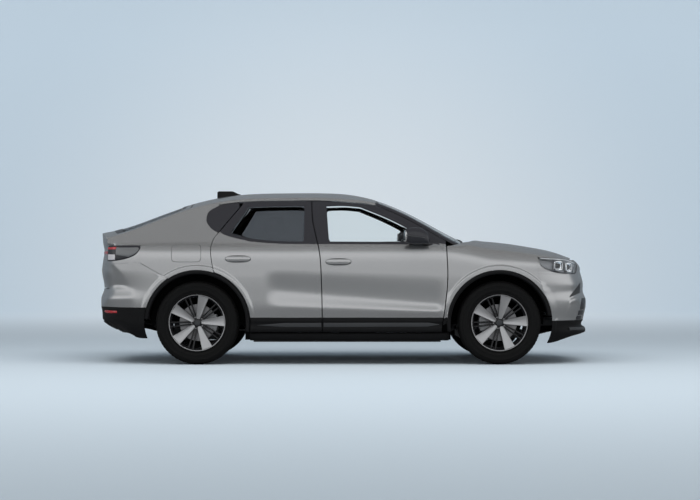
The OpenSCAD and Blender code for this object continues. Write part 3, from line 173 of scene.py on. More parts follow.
@dataclass(frozen=True)
class BodyForm:
    """Outer surface of the car as formulas of two parameters, in millimetres."""

    half_width: float = 936.0
    shoulder_z: float = 850.0
    clad_z: float = 430.0
    nose_start: float = 1600.0
    tail_start: float = -1500.0
    nose_power: float = 2.6
    tail_power: float = 2.8
    glass_foot_z: float = 1110.0
    lean: float = 0.55
    belt: tuple[float, float] = (1075.0, 1115.0)
    face_y: float = 636.0
    sculpt_x: tuple[float, float] = (-745.0, 950.0)
    axle_front: float = 1424.0
    axle_rear: float = -1343.0
    axle_z: float = 382.0
    trim_radius: float = 482.0
    flare: tuple[float, float, float] = (532.0, 14.0, 6.0)
    nose_line: Curve = Curve(((180, 2200), (277, 2313), (364, 2284), (510, 2311), (560, 2316), (600, 2313),
                              (655, 2293), (743, 2293), (830, 2264), (918, 2225), (966, 2167)), 8.0)
    tail_line: Curve = Curve(((258, -2172), (277, -2240), (374, -2305), (442, -2310), (597, -2316),
                              (685, -2288), (850, -2310), (927, -2305), (1044, -2288), (1112, -2300),
                              (1219, -2308)), 8.0)
    roof_line: Curve = Curve(((-2308, 1219), (-2200, 1238), (-2000, 1297), (-1881, 1340), (-1687, 1413),
                              (-1395, 1510), (-1007, 1583), (-425, 1602), (-36, 1595), (158, 1568),
                              (352, 1515), (546, 1437), (740, 1340), (934, 1233), (1200, 1095)), 40.0)
    bonnet_line: Curve = Curve(((900, 1172), (1200, 1150), (1322, 1133), (1517, 1112), (1711, 1083),
                                (1905, 1049), (2002, 1024), (2099, 990), (2167, 966), (2225, 918),
                                (2264, 870)), 30.0)
    low_inset: Curve = Curve(((190, 90), (292, 46), (300, 34), (430, 24)))
    plain_inset: Curve = Curve(((430, 24), (510, 12), (650, 8), (780, 6), (870, 6)), 20.0)

    def inset(self, x: Array, z: Array) -> Array:
        """How far the lower side stands in from the widest line.

        Ahead of and behind the doors it is one convex curve. Between them it has a
        hollow between three sloping lines: it falls from the top line to the valley,
        rises to the crease and falls away below it.

        Args:
            x: Positions along the car.
            z: Heights.

        Returns:
            Insets in millimetres.
        """
        top = 858 - 0.036 * (x + 654)
        valley = 680 - 0.088 * (x + 654)
        crease = 524 - 0.03 * (x + 654)
        upper = mix(22, 6, ease((z - valley) / (top - valley)))
        middle = mix(9, 22, ease((z - crease) / (valley - crease)))
        lower = mix(24, 9, np.clip((z - self.clad_z) / (crease - self.clad_z), 0, 1))
        hollow = np.where(z > valley, upper, np.where(z > crease, middle, lower))
        share = ease((x - self.sculpt_x[0]) / 170) * ease((self.sculpt_x[1] - x) / 120)
        whole = mix(self.plain_inset(z), hollow, share)
        return np.where(z < self.clad_z, self.low_inset(z), whole)

    @staticmethod
    def _round(x: Array, start: float, end: Array, power: float) -> Array:
        """Plan share: 1 to start, then a superellipse down to 0 at end."""
        t = np.clip((x - start) / (end - start), 0, 1)
        return np.maximum(0, 1 - t ** power) ** (1 / power)

    def plan(self, x: Array, z: Array) -> Array:
        """Share of the full width left by the rounded nose and tail."""
        return (self._round(x, self.nose_start, self.nose_line(z), self.nose_power)
                * self._round(x, self.tail_start, self.tail_line(z), self.tail_power))

    def lower_y(self, x: Array, z: Array) -> Array:
        """Half-width below the shoulder."""
        return self.plan(x, z) * (self.half_width - self.inset(x, z))

    def crest(self, x: Array) -> Array:
        """Height at which the rounded shoulder would close."""
        return np.where(x > 900, self.bonnet_line(np.maximum(x, 900)), 1172.0)

    @staticmethod
    def roundness(x: Array) -> Array:
        """Power of the shoulder's superellipse."""
        return mix(6.0, 4.0, ease((x - 900) / 500))

    def body_y(self, x: Array, z: Array) -> Array:
        """Half-width of the body: the lower side, closed in above the shoulder."""
        x, z = np.broadcast_arrays(np.asarray(x, float), np.asarray(z, float))
        p = self.roundness(x)
        t = np.clip((z - self.shoulder_z) / (self.crest(x) - self.shoulder_z), 0, 1)
        shoulder = self.lower_y(x, np.full_like(z, self.shoulder_z))
        upper = shoulder * np.maximum(0, 1 - t ** p) ** (1 / p)
        return np.where(z > self.shoulder_z, upper, self.lower_y(x, z)) + self.flare_y(x, z)

    def flare_y(self, x: Array, z: Array) -> Array:
        """Raised lip around the wheel arches, which ends in a short ramp."""
        radius, ramp, rise = self.flare
        away = np.minimum(np.hypot(x - self.axle_front, z - self.axle_z),
                          np.hypot(x - self.axle_rear, z - self.axle_z))
        return rise * ease((radius - away) / ramp)

    def foot_y(self, x: Array) -> Array:
        """Half-width of the glasshouse at its foot."""
        front = 60 * (np.maximum(x - 300, 0) / 750) ** 2
        rear = 130 * (np.minimum(x + 500, 0) / 1500) ** 2
        return 872 - front - rear

    def house_y(self, x: Array, z: Array) -> Array:
        """Half-width of the glasshouse, which leans in with height."""
        return self.foot_y(x) - self.lean * (z - self.glass_foot_z)

    def roof_z(self, x: Array, y: Array) -> Array:
        """Roof skin: the middle outline less a crown that grows towards the rails."""
        crown = mix(70.0, 45.0, ease(x / 300))
        return self.roof_line(x) - crown * (np.abs(y) / 650) ** 2.2

    def crease_y(self, x: Array) -> Array:
        """Half-width at which the roof skin meets the glasshouse side."""
        y = np.full_like(np.asarray(x, float), 650.0)
        for _ in range(6):
            y = self.house_y(x, self.roof_z(x, y))
        return y

    def crease_z(self, x: Array) -> Array:
        """Height of that meeting line."""
        return self.roof_z(x, self.crease_y(x))

    def side_y(self, x: Array, z: Array) -> Array:
        """Whole body side: body below the belt, glasshouse above it."""
        share = ease((1150 - x) / 130) * ease((z - self.belt[0]) / (self.belt[1] - self.belt[0]))
        return mix(self.body_y(x, z), self.house_y(x, z), share)

    def side(self, p: Array, depth: Array | float = 0.0) -> Array:
        """Points of the side surface.

        Args:
            p: Array whose last axis is (x, z).
            depth: Distance behind the skin, along Y.

        Returns:
            Array whose last axis is (x, y, z), on the left side.
        """
        x, z = p[..., 0], p[..., 1]
        return np.stack([x, self.side_y(x, z) - depth, z], axis=-1)

    def face(self, p: Array, depth: Array | float, front: bool, back: Callable[[Array], Array]) -> Array:
        """Points of the front or rear face, carried back along the sides.

        Args:
            p: Last axis is (s, z); s runs across the middle within 1 and along the side to 2.
            depth: Distance behind the skin.
            front: Whether the face is the nose.
            back: Position of the side edge at a height.

        Returns:
            Array whose last axis is (x, y, z).
        """
        s, z = np.abs(p[..., 0]), p[..., 1]
        y = np.minimum(s, 1) * self.face_y
        a = np.full_like(y, self.nose_start if front else self.tail_start)
        b = (self.nose_line if front else self.tail_line)(z)
        for _ in range(22):
            m = (a + b) / 2
            out = self.body_y(m, z) > y
            a, b = np.where(out, m, a), np.where(out, b, m)
        x = np.where(s > 1, mix((a + b) / 2, back(z), s - 1), (a + b) / 2)
        y = np.where(s > 1, self.body_y(x, z), y)
        turn = np.radians(np.where(s > 1, mix(45, 90, s - 1), 45 * s))
        sign = 1 if front else -1
        return np.stack([x - sign * depth * np.cos(turn), np.sign(p[..., 0]) * (y - depth * np.sin(turn)), z],
                        -1)

    def round_x(self, z: Array) -> Array:
        """Half chord of the bumper's cut around the wheel arch."""
        return np.sqrt(np.maximum(0, (self.trim_radius + 4) ** 2 - (z - self.axle_z) ** 2))

    def nose_back(self, z: Array) -> Array:
        """Side edge of the front bumper: around the arch, then straight to the lamp."""
        foot = self.axle_front + self.round_x(np.asarray(640.0))
        above = np.maximum(0, z - 640) / 189
        return self.axle_front + self.round_x(np.minimum(z, 640)) - above * (foot - 1773)

    def tail_back(self, z: Array) -> Array:
        """Side edge of the rear bumper: around the arch, then straight to the lamp."""
        foot = self.axle_rear - self.round_x(np.asarray(790.0))
        return (self.axle_rear - self.round_x(np.minimum(z, 790))
                + np.maximum(0, z - 790) / 136 * (-1865 - foot))

    def nose(self, p: Array, depth: Array | float = 0.0) -> Array:
        """Points of the front face."""
        return self.face(p, depth, True, self.nose_back)

    def tail(self, p: Array, depth: Array | float = 0.0) -> Array:
        """Points of the rear face."""
        return self.face(p, depth, False, self.tail_back)

    def bonnet_edge_y(self, x: Array) -> Array:
        """Half-width of the bonnet."""
        return np.minimum(770 - 80 * ease((x - 1500) / 600), self.body_y(x, self.shoulder_z) * 0.87)

    def edge_z(self, x: Array, y: Array) -> Array:
        """Height of the rolled upper body at a half-width."""
        p = self.roundness(x)
        t = (np.abs(y) / self.body_y(x, self.shoulder_z)) ** p
        return self.shoulder_z + (self.crest(x) - self.shoulder_z) * np.maximum(0, 1 - t) ** (1 / p)


FORM = BodyForm()


def grid_faces(rows: int, cols: int, wrap_rows: bool = False, wrap_cols: bool = False) -> Array:
    """Corner numbers of the squares of a grid of points.

    Args:
        rows, cols: Size of the grid.
        wrap_rows, wrap_cols: Whether the last row or column joins the first.

    Returns:
        Array of squares by 4 corners.
    """
    i, j = np.meshgrid(np.arange(rows if wrap_rows else rows - 1),
                       np.arange(cols if wrap_cols else cols - 1), indexing="ij")
    a, b = i * cols, ((i + 1) % rows) * cols
    k = (j + 1) % cols
    return np.stack([a + j, a + k, b + k, b + j], axis=-1).reshape(-1, 4)


def outward(points: Array, faces: Array, centre: Sequence[float]) -> Array:
    """Turns the faces so that they look away from a centre."""
    a, b, c = (points[faces[:, k]] for k in range(3))
    looks = np.einsum("ij,ij->i", np.cross(b - a, c - a), a - np.asarray(centre)).sum()
    return faces if looks > 0 else faces[:, ::-1]


@dataclass
class Piece:
    """A named mesh that rides on a body and has one finish."""

    name: str
    body: str
    finish: "Finish"
    replaces: tuple[str, ...] = ()

    def put(self, points: Array, faces: Array | list, angle: float = 40.0) -> bpy.types.Object:
        """Makes the object from points in millimetres and dresses it.

        Args:
            points: Vertices, one row each.
            faces: Corner numbers of each face.
            angle: Edges turned by more than this many degrees stay sharp.

        Returns:
            The new object, at the origin.
        """
        mesh = bpy.data.meshes.new(self.name)
        listed = faces.tolist() if isinstance(faces, np.ndarray) else faces
        mesh.from_pydata((np.asarray(points) * METRES).tolist(), [], listed)
        mesh.polygons.foreach_set("use_smooth", np.ones(len(mesh.polygons), bool))
        mesh.set_sharp_from_angle(angle=math.radians(angle))
        mesh.update()
        item = bpy.data.objects.new(self.name, mesh)
        bpy.context.scene.collection.objects.link(item)
        mesh.materials.append(self.finish.material())
        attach(item, self.body)
        if self.replaces:
            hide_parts(*self.replaces)
        LOG.info("%s rides on %s", self.name, self.body)
        return item


def thicken(item: bpy.types.Object, thickness: float, bevel: float = 2.5) -> bpy.types.Object:
    """Gives a skin its thickness inwards and rounds its edges, in millimetres."""
    solid = item.modifiers.new("thickness", "SOLIDIFY")
    solid.thickness = thickness * METRES
    solid.offset = -1.0
    solid.use_even_offset = False
    if bevel:
        round_edges(item, bevel)
    return item


def round_edges(item: bpy.types.Object, width: float, angle: float = 50.0,
                segments: int = 2) -> bpy.types.Object:
    """Rounds the sharp edges of a piece."""
    bevel = item.modifiers.new("edges", "BEVEL")
    bevel.width = width * METRES
    bevel.segments = segments
    bevel.limit_method = "ANGLE"
    bevel.angle_limit = math.radians(angle)
    bevel.harden_normals = True
    return item


def mirrored(points: Array, hand: Hand) -> Array:
    """The same points on the given side of the car."""
    return points * np.array([1.0, hand.value, 1.0])


@dataclass
class Sheet(Piece):
    """A piece that is a grid of points, thickened inwards."""

    thickness: float = 8.0
    bevel: float = 2.5

    def lay(self, grid: Array, wrap: bool = False, centre: Sequence[float] | None = None) -> bpy.types.Object:
        """Makes the skin from a grid of points.

        Args:
            grid: Rows by columns by (x, y, z).
            wrap: Whether the rows close into a ring.
            centre: Point the skin looks away from; by default on the car's middle line.

        Returns:
            The new object.
        """
        points = grid.reshape(-1, 3)
        if centre is None:
            centre = (points[:, 0].mean() * 0.8, 0.0, 640.0)
        faces = outward(points, grid_faces(*grid.shape[:2], wrap_rows=wrap), centre)
        return thicken(self.put(points, faces), self.thickness, self.bevel)


def closed_loft(sections: Array, ring: bool = False) -> tuple[Array, list]:
    """Closed sections carried along a path, capped with fans unless it is a ring.

    Args:
        sections: Number of sections by points of one section by (x, y, z).
        ring: Whether the last section joins the first.

    Returns:
        Points and faces, turned outwards.
    """
    n, m = sections.shape[:2]
    points = sections.reshape(-1, 3)
    faces = grid_faces(n, m, wrap_rows=ring, wrap_cols=True)
    a, b, c, d = (points[faces[:, k]] for k in range(4))
    volume = (np.einsum("ij,ij->i", a, np.cross(b, c)) + np.einsum("ij,ij->i", a, np.cross(c, d))).sum()
    first, last = np.arange(m)[::-1], np.arange((n - 1) * m, n * m)
    if not ring:
        for cap in (first, last):
            tri = points[cap]
            volume += np.einsum("ij,ij->i", np.broadcast_to(tri[0], tri[1:-1].shape),
                                np.cross(tri[1:-1], tri[2:])).sum()
    listed = faces.tolist() if ring else faces.tolist() + [first.tolist(), last.tolist()]
    return points, listed if volume > 0 else [f[::-1] for f in listed]


def turned(profile: Array, count: int = 96) -> tuple[Array, Array]:
    """A closed profile of (radius, height) pairs turned about Z: (r cos t, r sin t, h)."""
    t = np.linspace(0, 2 * np.pi, count, endpoint=False)[:, None]
    r, h = profile[None, :, 0], profile[None, :, 1]
    points = np.stack([r * np.cos(t), r * np.sin(t), h + 0 * t], axis=-1)
    return points.reshape(-1, 3), grid_faces(count, len(profile), True, True)


def join(parts: Iterable[tuple[Array, Array | list]]) -> tuple[Array, list]:
    """Several meshes as one list of points and faces."""
    points, faces, start = [], [], 0
    for p, f in parts:
        points.append(np.asarray(p))
        faces += [[start + k for k in face] for face in (f.tolist() if isinstance(f, np.ndarray) else f)]
        start += len(p)
    return np.concatenate(points), faces


def soft_box(size: Sequence[float], centre: Sequence[float], power: float = 0.35,
             count: int = 20) -> tuple[Array, list]:
    """Rounded block: a ball whose sines and cosines are raised to a power below 1."""
    v = np.linspace(-np.pi / 2, np.pi / 2, count)[:, None]
    u = np.linspace(0, 2 * np.pi, 2 * count, endpoint=False)[None, :]
    root = lambda w: np.sign(w) * np.abs(w) ** power  # noqa: E731
    ball = np.stack([root(np.cos(v)) * root(np.cos(u)), root(np.cos(v)) * root(np.sin(u)),
                     root(np.sin(v)) + 0 * u], axis=-1)
    ball = ball[1:-1] * np.asarray(size) / 2 + np.asarray(centre)
    return closed_loft(ball)


def socket(tree: bpy.types.NodeTree, name: str, kind: str, output: bool = False,
           value: float | tuple | None = None) -> None:
    """Adds a named socket to a node group."""
    made = tree.interface.new_socket(name=name, in_out="OUTPUT" if output else "INPUT", socket_type=kind)
    if value is not None:
        made.default_value = value


def surface_group() -> bpy.types.NodeTree:
    """Group of an uneven surface: a coarse noise mixes two tones, a fine one gives grain.

    Returns:
        The group, made once and shared by the finishes.
    """
    name = "surface_detail"
    if name in bpy.data.node_groups:
        return bpy.data.node_groups[name]
    tree = bpy.data.node_groups.new(name, "ShaderNodeTree")
    socket(tree, "Vector", "NodeSocketVector")
    socket(tree, "Tone A", "NodeSocketColor")
    socket(tree, "Tone B", "NodeSocketColor")
    socket(tree, "Patch Scale", "NodeSocketFloat", value=3.0)
    socket(tree, "Grain Scale", "NodeSocketFloat", value=400.0)
    socket(tree, "Rough Low", "NodeSocketFloat", value=0.3)
    socket(tree, "Rough High", "NodeSocketFloat", value=0.4)
    socket(tree, "Color", "NodeSocketColor", output=True)
    socket(tree, "Roughness", "NodeSocketFloat", output=True)
    socket(tree, "Height", "NodeSocketFloat", output=True)
    enter, leave = tree.nodes.new("NodeGroupInput"), tree.nodes.new("NodeGroupOutput")
    coarse, fine = tree.nodes.new("ShaderNodeTexNoise"), tree.nodes.new("ShaderNodeTexNoise")
    coarse.inputs["Detail"].default_value = 3.0
    fine.inputs["Detail"].default_value = 2.0
    blend = tree.nodes.new("ShaderNodeMix")
    blend.data_type = "RGBA"
    rough = tree.nodes.new("ShaderNodeMapRange")
    both = tree.nodes.new("ShaderNodeMath")
    both.operation = "MULTIPLY_ADD"
    both.inputs[1].default_value = 0.5
    link = tree.links.new
    for noise, scale in ((coarse, "Patch Scale"), (fine, "Grain Scale")):
        link(enter.outputs["Vector"], noise.inputs["Vector"])
        link(enter.outputs[scale], noise.inputs["Scale"])
    link(coarse.outputs["Fac"], both.inputs[0])
    link(fine.outputs["Fac"], both.inputs[2])
    link(both.outputs[0], blend.inputs["Factor"])
    link(enter.outputs["Tone A"], blend.inputs["A"])
    link(enter.outputs["Tone B"], blend.inputs["B"])
    link(coarse.outputs["Fac"], rough.inputs["Value"])
    link(enter.outputs["Rough Low"], rough.inputs["To Min"])
    link(enter.outputs["Rough High"], rough.inputs["To Max"])
    link(blend.outputs["Result"], leave.inputs["Color"])
    link(rough.outputs["Result"], leave.inputs["Roughness"])
    link(fine.outputs["Fac"], leave.inputs["Height"])
    return tree


def weave_group() -> bpy.types.NodeTree:
    """Group of a plain weave: crossed waves along X and along Y plus Z.

    Returns:
        The group, made once and shared by the cloth finishes.
    """
    name = "weave_detail"
    if name in bpy.data.node_groups:
        return bpy.data.node_groups[name]
    tree = bpy.data.node_groups.new(name, "ShaderNodeTree")
    socket(tree, "Vector", "NodeSocketVector")
    socket(tree, "Threads", "NodeSocketFloat", value=300.0)
    socket(tree, "Height", "NodeSocketFloat", output=True)
    enter, leave = tree.nodes.new("NodeGroupInput"), tree.nodes.new("NodeGroupOutput")
    add = tree.nodes.new("ShaderNodeMath")
    for axis in ("X", "DIAGONAL"):
        wave = tree.nodes.new("ShaderNodeTexWave")
        wave.bands_direction = axis
        wave.inputs["Distortion"].default_value = 0.6
        tree.links.new(enter.outputs["Vector"], wave.inputs["Vector"])
        tree.links.new(enter.outputs["Threads"], wave.inputs["Scale"])
        tree.links.new(wave.outputs["Fac"], add.inputs[0 if axis == "X" else 1])
    tree.links.new(add.outputs[0], leave.inputs["Height"])
    return tree


Tone = tuple[float, float, float]


@dataclass(frozen=True)
class Finish:
    """One finish: two close tones, a range of roughness and a grain."""

    name: str
    slot: str
    tone_a: Tone
    tone_b: Tone
    rough: tuple[float, float] = (0.3, 0.4)
    metallic: float = 0.0
    coat: float = 0.0
    specular: float = 0.5
    transmission: float = 0.0
    ior: float = 1.5
    patch_scale: float = 3.0
    grain_scale: float = 400.0
    grain_mm: float = 0.0
    woven: bool = False
    glow: float = 0.0

    def material(self) -> bpy.types.Material:
        """The finish as a material, made on first use.

        Returns:
            Material with a Principled shader fed by the shared groups.
        """
        if self.name in bpy.data.materials:
            return bpy.data.materials[self.name]
        made = bpy.data.materials.new(self.name)
        made.use_nodes = True
        made.diffuse_color = (*self.tone_a, 1.0)
        tree = made.node_tree
        shader = tree.nodes["Principled BSDF"]
        place = tree.nodes.new("ShaderNodeTexCoord")
        detail = tree.nodes.new("ShaderNodeGroup")
        detail.node_tree = surface_group()
        for key, value in (("Tone A", (*self.tone_a, 1)), ("Tone B", (*self.tone_b, 1)),
                           ("Patch Scale", self.patch_scale), ("Grain Scale", self.grain_scale),
                           ("Rough Low", self.rough[0]), ("Rough High", self.rough[1])):
            detail.inputs[key].default_value = value
        link = tree.links.new
        link(place.outputs["Object"], detail.inputs["Vector"])
        link(detail.outputs["Color"], shader.inputs["Base Color"])
        link(detail.outputs["Roughness"], shader.inputs["Roughness"])
        for key, value in (("Metallic", self.metallic), ("Coat Weight", self.coat), ("Coat Roughness", 0.03),
                           ("Specular IOR Level", self.specular), ("Transmission Weight", self.transmission),
                           ("IOR", self.ior)):
            shader.inputs[key].default_value = value
        if self.glow:
            shader.inputs["Emission Color"].default_value = (*self.tone_a, 1)
            shader.inputs["Emission Strength"].default_value = self.glow
        if self.grain_mm:
            bump = tree.nodes.new("ShaderNodeBump")
            bump.inputs["Distance"].default_value = self.grain_mm * METRES
            height = detail.outputs["Height"]
            if self.woven:
                weave = tree.nodes.new("ShaderNodeGroup")
                weave.node_tree = weave_group()
                link(place.outputs["Object"], weave.inputs["Vector"])
                height = weave.outputs["Height"]
            link(height, bump.inputs["Height"])
            link(bump.outputs["Normal"], shader.inputs["Normal"])
        return made


PAINT = Finish("silver_paint", "paint", (0.499, 0.501, 0.503), (0.501, 0.503, 0.505), (0.268, 0.272), 0.85,
               0.6, patch_scale=1.5, grain_scale=8)
GLOSS = Finish("gloss_black", "gloss_black", (0.005, 0.005, 0.006), (0.009, 0.009, 0.010), (0.10, 0.16),
               coat=0.25, specular=0.3)
CLAD = Finish("grained_black", "black_plastic", (0.004, 0.004, 0.0045), (0.007, 0.007, 0.0075), (0.45, 0.58),
              specular=0.16, grain_scale=900, grain_mm=0.06)
LINER = Finish("liner_felt", "black_plastic", (0.004, 0.004, 0.004), (0.006, 0.006, 0.006), (0.85, 0.95),
               specular=0.05, grain_scale=500, grain_mm=0.3)
FACET = Finish("satin_grey", "black_plastic", (0.03, 0.031, 0.033), (0.042, 0.043, 0.045), (0.35, 0.45),
               specular=0.25, grain_scale=700, grain_mm=0.03)
RUBBER = Finish("tyre_rubber", "tyre", (0.003, 0.003, 0.003), (0.006, 0.006, 0.006), (0.62, 0.78),
                specular=0.15, grain_scale=600, grain_mm=0.12)
MACHINED = Finish("machined_alloy", "alloy", (0.56, 0.565, 0.575), (0.60, 0.605, 0.615), (0.34, 0.42), 1.0,
                  patch_scale=20, grain_scale=1500, grain_mm=0.01)
WHEEL_BLACK = Finish("wheel_black", "alloy", (0.006, 0.006, 0.007), (0.010, 0.010, 0.011), (0.22, 0.32),
                     coat=0.2, specular=0.3)
STEEL = Finish("brake_steel", "alloy", (0.24, 0.24, 0.25), (0.30, 0.30, 0.31), (0.30, 0.42), 1.0,
               patch_scale=30)
CLEAR = Finish("clear_glass", "glass", (0.93, 0.95, 0.95), (0.94, 0.96, 0.96), (0.0, 0.01), transmission=1.0,
               ior=1.06)
TINT = Finish("tinted_glass", "glass", (0.30, 0.305, 0.315), (0.32, 0.325, 0.335), (0.0, 0.01),
              transmission=1.0, ior=1.06)
LENS = Finish("lamp_lens", "lamp_clear", (0.93, 0.94, 0.95), (0.96, 0.97, 0.98), (0.0, 0.02),
              transmission=1.0, ior=1.2)
CHROME = Finish("lamp_reflector", "lamp_clear", (0.80, 0.81, 0.82), (0.86, 0.87, 0.88), (0.08, 0.14), 1.0)
LAMP_DARK = Finish("lamp_housing", "lamp_clear", (0.02, 0.021, 0.023), (0.035, 0.036, 0.038), (0.2, 0.3),
                   coat=0.3)
LAMP_GREY = Finish("lamp_inner", "lamp_clear", (0.22, 0.222, 0.23), (0.30, 0.302, 0.31), (0.28, 0.4), 0.5,
                   grain_scale=160, grain_mm=0.5)
GUIDE = Finish("lamp_guide", "lamp_clear", (0.78, 0.80, 0.82), (0.88, 0.89, 0.90), (0.2, 0.3))
PALE = Finish("pale_lens", "lamp_red", (0.50, 0.47, 0.48), (0.56, 0.53, 0.54), (0.15, 0.22), coat=0.4)
RED = Finish("red_lens", "lamp_red", (0.36, 0.012, 0.018), (0.45, 0.02, 0.025), (0.08, 0.14), coat=0.8)
SMOKE = Finish("smoked_lens", "lamp_red", (0.10, 0.101, 0.104), (0.13, 0.131, 0.134), (0.14, 0.2), coat=0.4)
CLOTH = Finish("seat_cloth", "seat_cloth", (0.030, 0.031, 0.034), (0.048, 0.049, 0.053), (0.75, 0.9),
               grain_mm=0.25, woven=True)
COATING = Finish("floor_coating", "underbody", (0.02, 0.02, 0.021), (0.03, 0.03, 0.031), (0.6, 0.75),
                 grain_scale=300, grain_mm=0.2)
CHASSIS = Finish("chassis_coating", "chassis_steel", (0.018, 0.018, 0.019), (0.028, 0.028, 0.03), (0.4, 0.55),
                 grain_scale=300, grain_mm=0.08)
CASTING = Finish("motor_casting", "cast_alloy", (0.32, 0.33, 0.34), (0.40, 0.41, 0.42), (0.5, 0.65), 0.9,
                 grain_scale=350, grain_mm=0.25)
PLATE = Finish("blank_plate", "paint", (0.72, 0.72, 0.70), (0.76, 0.76, 0.74), (0.35, 0.45))
CAD_FINISHES = {"paint": PAINT, "gloss_black": GLOSS, "black_plastic": CLAD, "glass": TINT, "tyre": RUBBER,
                "alloy": MACHINED, "lamp_clear": LAMP_DARK, "lamp_red": RED, "seat_cloth": CLOTH,
                "underbody": COATING, "chassis_steel": CHASSIS, "cast_alloy": CASTING}


@dataclass(frozen=True)
class ShutLines:
    """Lines on the body side where the panels meet, as points (x, z)."""

    gap: float = 6.0
    hinge_gap: float = 9.0
    door_low_z: float = 297.0
    rail_drop: float = 24.0
    belt_z: float = 1104.0
    edge_inset: float = 25.0
    tail_inset: float = 162.0
    front: Pairs = ((940, 1128), (938, 1085), (945, 945), (949, 853), (945, 716), (931, 578), (913, 441),
                    (901, 360), (900, 297))
    middle: Pairs = ((-196, 297), (-200, 578), (-205, 761), (-214, 945), (-228, 1055), (-256, 1175),
                     (-287, 1315), (-297, 1470))
    rear: Pairs = ((-1185, 846), (-1194, 871), (-1208, 945), (-1218, 1036), (-1214, 1092), (-1195, 1156),
                   (-1145, 1218))
    split: Pairs = ((-1145, 1218), (-1040, 1350), (-940, 1474))
    pillar: Pairs = ((-1160, 1210), (-1215, 1240), (-1262, 1296), (-1272, 1345), (-1250, 1408), (-1160, 1462))

    def top(self, x: Array | float) -> Array:
        """Upper edge of the doors below the rails."""
        x = np.asarray(x, float)
        return np.stack([x, FORM.crease_z(x) - self.rail_drop - self.gap], axis=-1)

    def at(self, pairs: Pairs, z: Array | float) -> Array:
        """Position along X of a shut line at a height."""
        order = sorted((p[1], p[0]) for p in pairs)
        return Curve(order)(z)

    def run(self, pairs: Pairs, z0: float, z1: float, shift: float, count: int) -> Array:
        """Stretch of a shut line between two heights, shifted along X."""
        z = np.linspace(z0, z1, count)
        return np.stack([self.at(pairs, z) + shift, z], axis=1)


LINES = ShutLines()
STEP = 32


def span(a: Sequence[float], b: Sequence[float]) -> Array:
    """Even points from a to b."""
    return mix(np.asarray(a, float), np.asarray(b, float), np.linspace(0, 1, STEP)[:, None])


def tops(x0: float, x1: float, drop: float = 0.0) -> Array:
    """Points along the upper door edge, lowered by drop."""
    return LINES.top(np.linspace(x0, x1, STEP)) - np.array([0.0, drop])


def chain(*stretches: Array) -> Array:
    """Stretches end to end, each without its last point, which the next one starts with."""
    return np.concatenate([s[:-1] for s in stretches])


@dataclass(frozen=True)
class DoorOutline:
    """Loops of one door: window hole, shut line, inner box and dark frame, piece by piece."""

    hole: Array
    rim: Array
    inner: Array
    frame: Array


def front_outline() -> DoorOutline:
    """Loops of the front door, in six stretches from the belt round to the belt."""
    half, inset, low = LINES.hinge_gap / 2, LINES.edge_inset, LINES.door_low_z
    hole = chain(*[
        smooth_path([(680, 1122), (300, 1124), (-122, 1126)], STEP),
        smooth_path([(-122, 1126), (-132, 1129), (-137, 1138)], STEP),
        smooth_path([(-137, 1138), (-150, 1300), (-160, 1446)], STEP),
        smooth_path([(-160, 1446), (-152, 1454), (0, 1458), (150, 1446)], STEP),
        smooth_path([(150, 1446), (400, 1342), (600, 1238), (706, 1150)], STEP),
        smooth_path([(706, 1150), (710, 1132), (680, 1122)], STEP)])
    b_top = float(LINES.top(-297.0)[1])
    rim = chain(*[
        span((900 - half, low), (-196 + half, low)),
        LINES.run(LINES.middle, low, 1055, half, STEP),
        LINES.run(LINES.middle, 1055, b_top, half, STEP),
        tops(-297 + half, 230), tops(230, 940 - half),
        LINES.run(LINES.front, 1128, low, -half, STEP)])
    inner = chain(*[
        span((900 - half - inset, low + inset), (-196 + half + LINES.tail_inset, low + inset)),
        LINES.run(LINES.middle, low + inset, 1055, half + LINES.tail_inset, STEP),
        smooth_path([(-228 + half + LINES.tail_inset, 1055), (-256 + half + inset, 1175),
                     (-287 + half + inset, 1315), (-297 + half + inset, b_top - inset)], STEP),
        tops(-297 + half + inset, 230, inset),
        tops(230, 940 - half, inset * 0.9) - np.array([inset * 0.45, 0]),
        LINES.run(LINES.front, 1128 - inset, low + inset, -half - inset, STEP)])
    corner = (float(LINES.at(LINES.middle, LINES.belt_z)) + half, LINES.belt_z)
    nib = (float(LINES.at(LINES.front, LINES.belt_z)) - half, LINES.belt_z)
    foot = (corner[0] + 20, LINES.belt_z)
    knee = LINES.run(LINES.middle, LINES.belt_z + 20, b_top, half, STEP)
    edge = chain(span((680, LINES.belt_z), foot), even_path([foot, corner, knee[0]], STEP), knee,
                 tops(-297 + half, 230), tops(230, 940 - half),
                 even_path([tops(940 - half, 940 - half)[0], nib, (680, LINES.belt_z)], STEP))
    return DoorOutline(hole, rim, inner, edge)


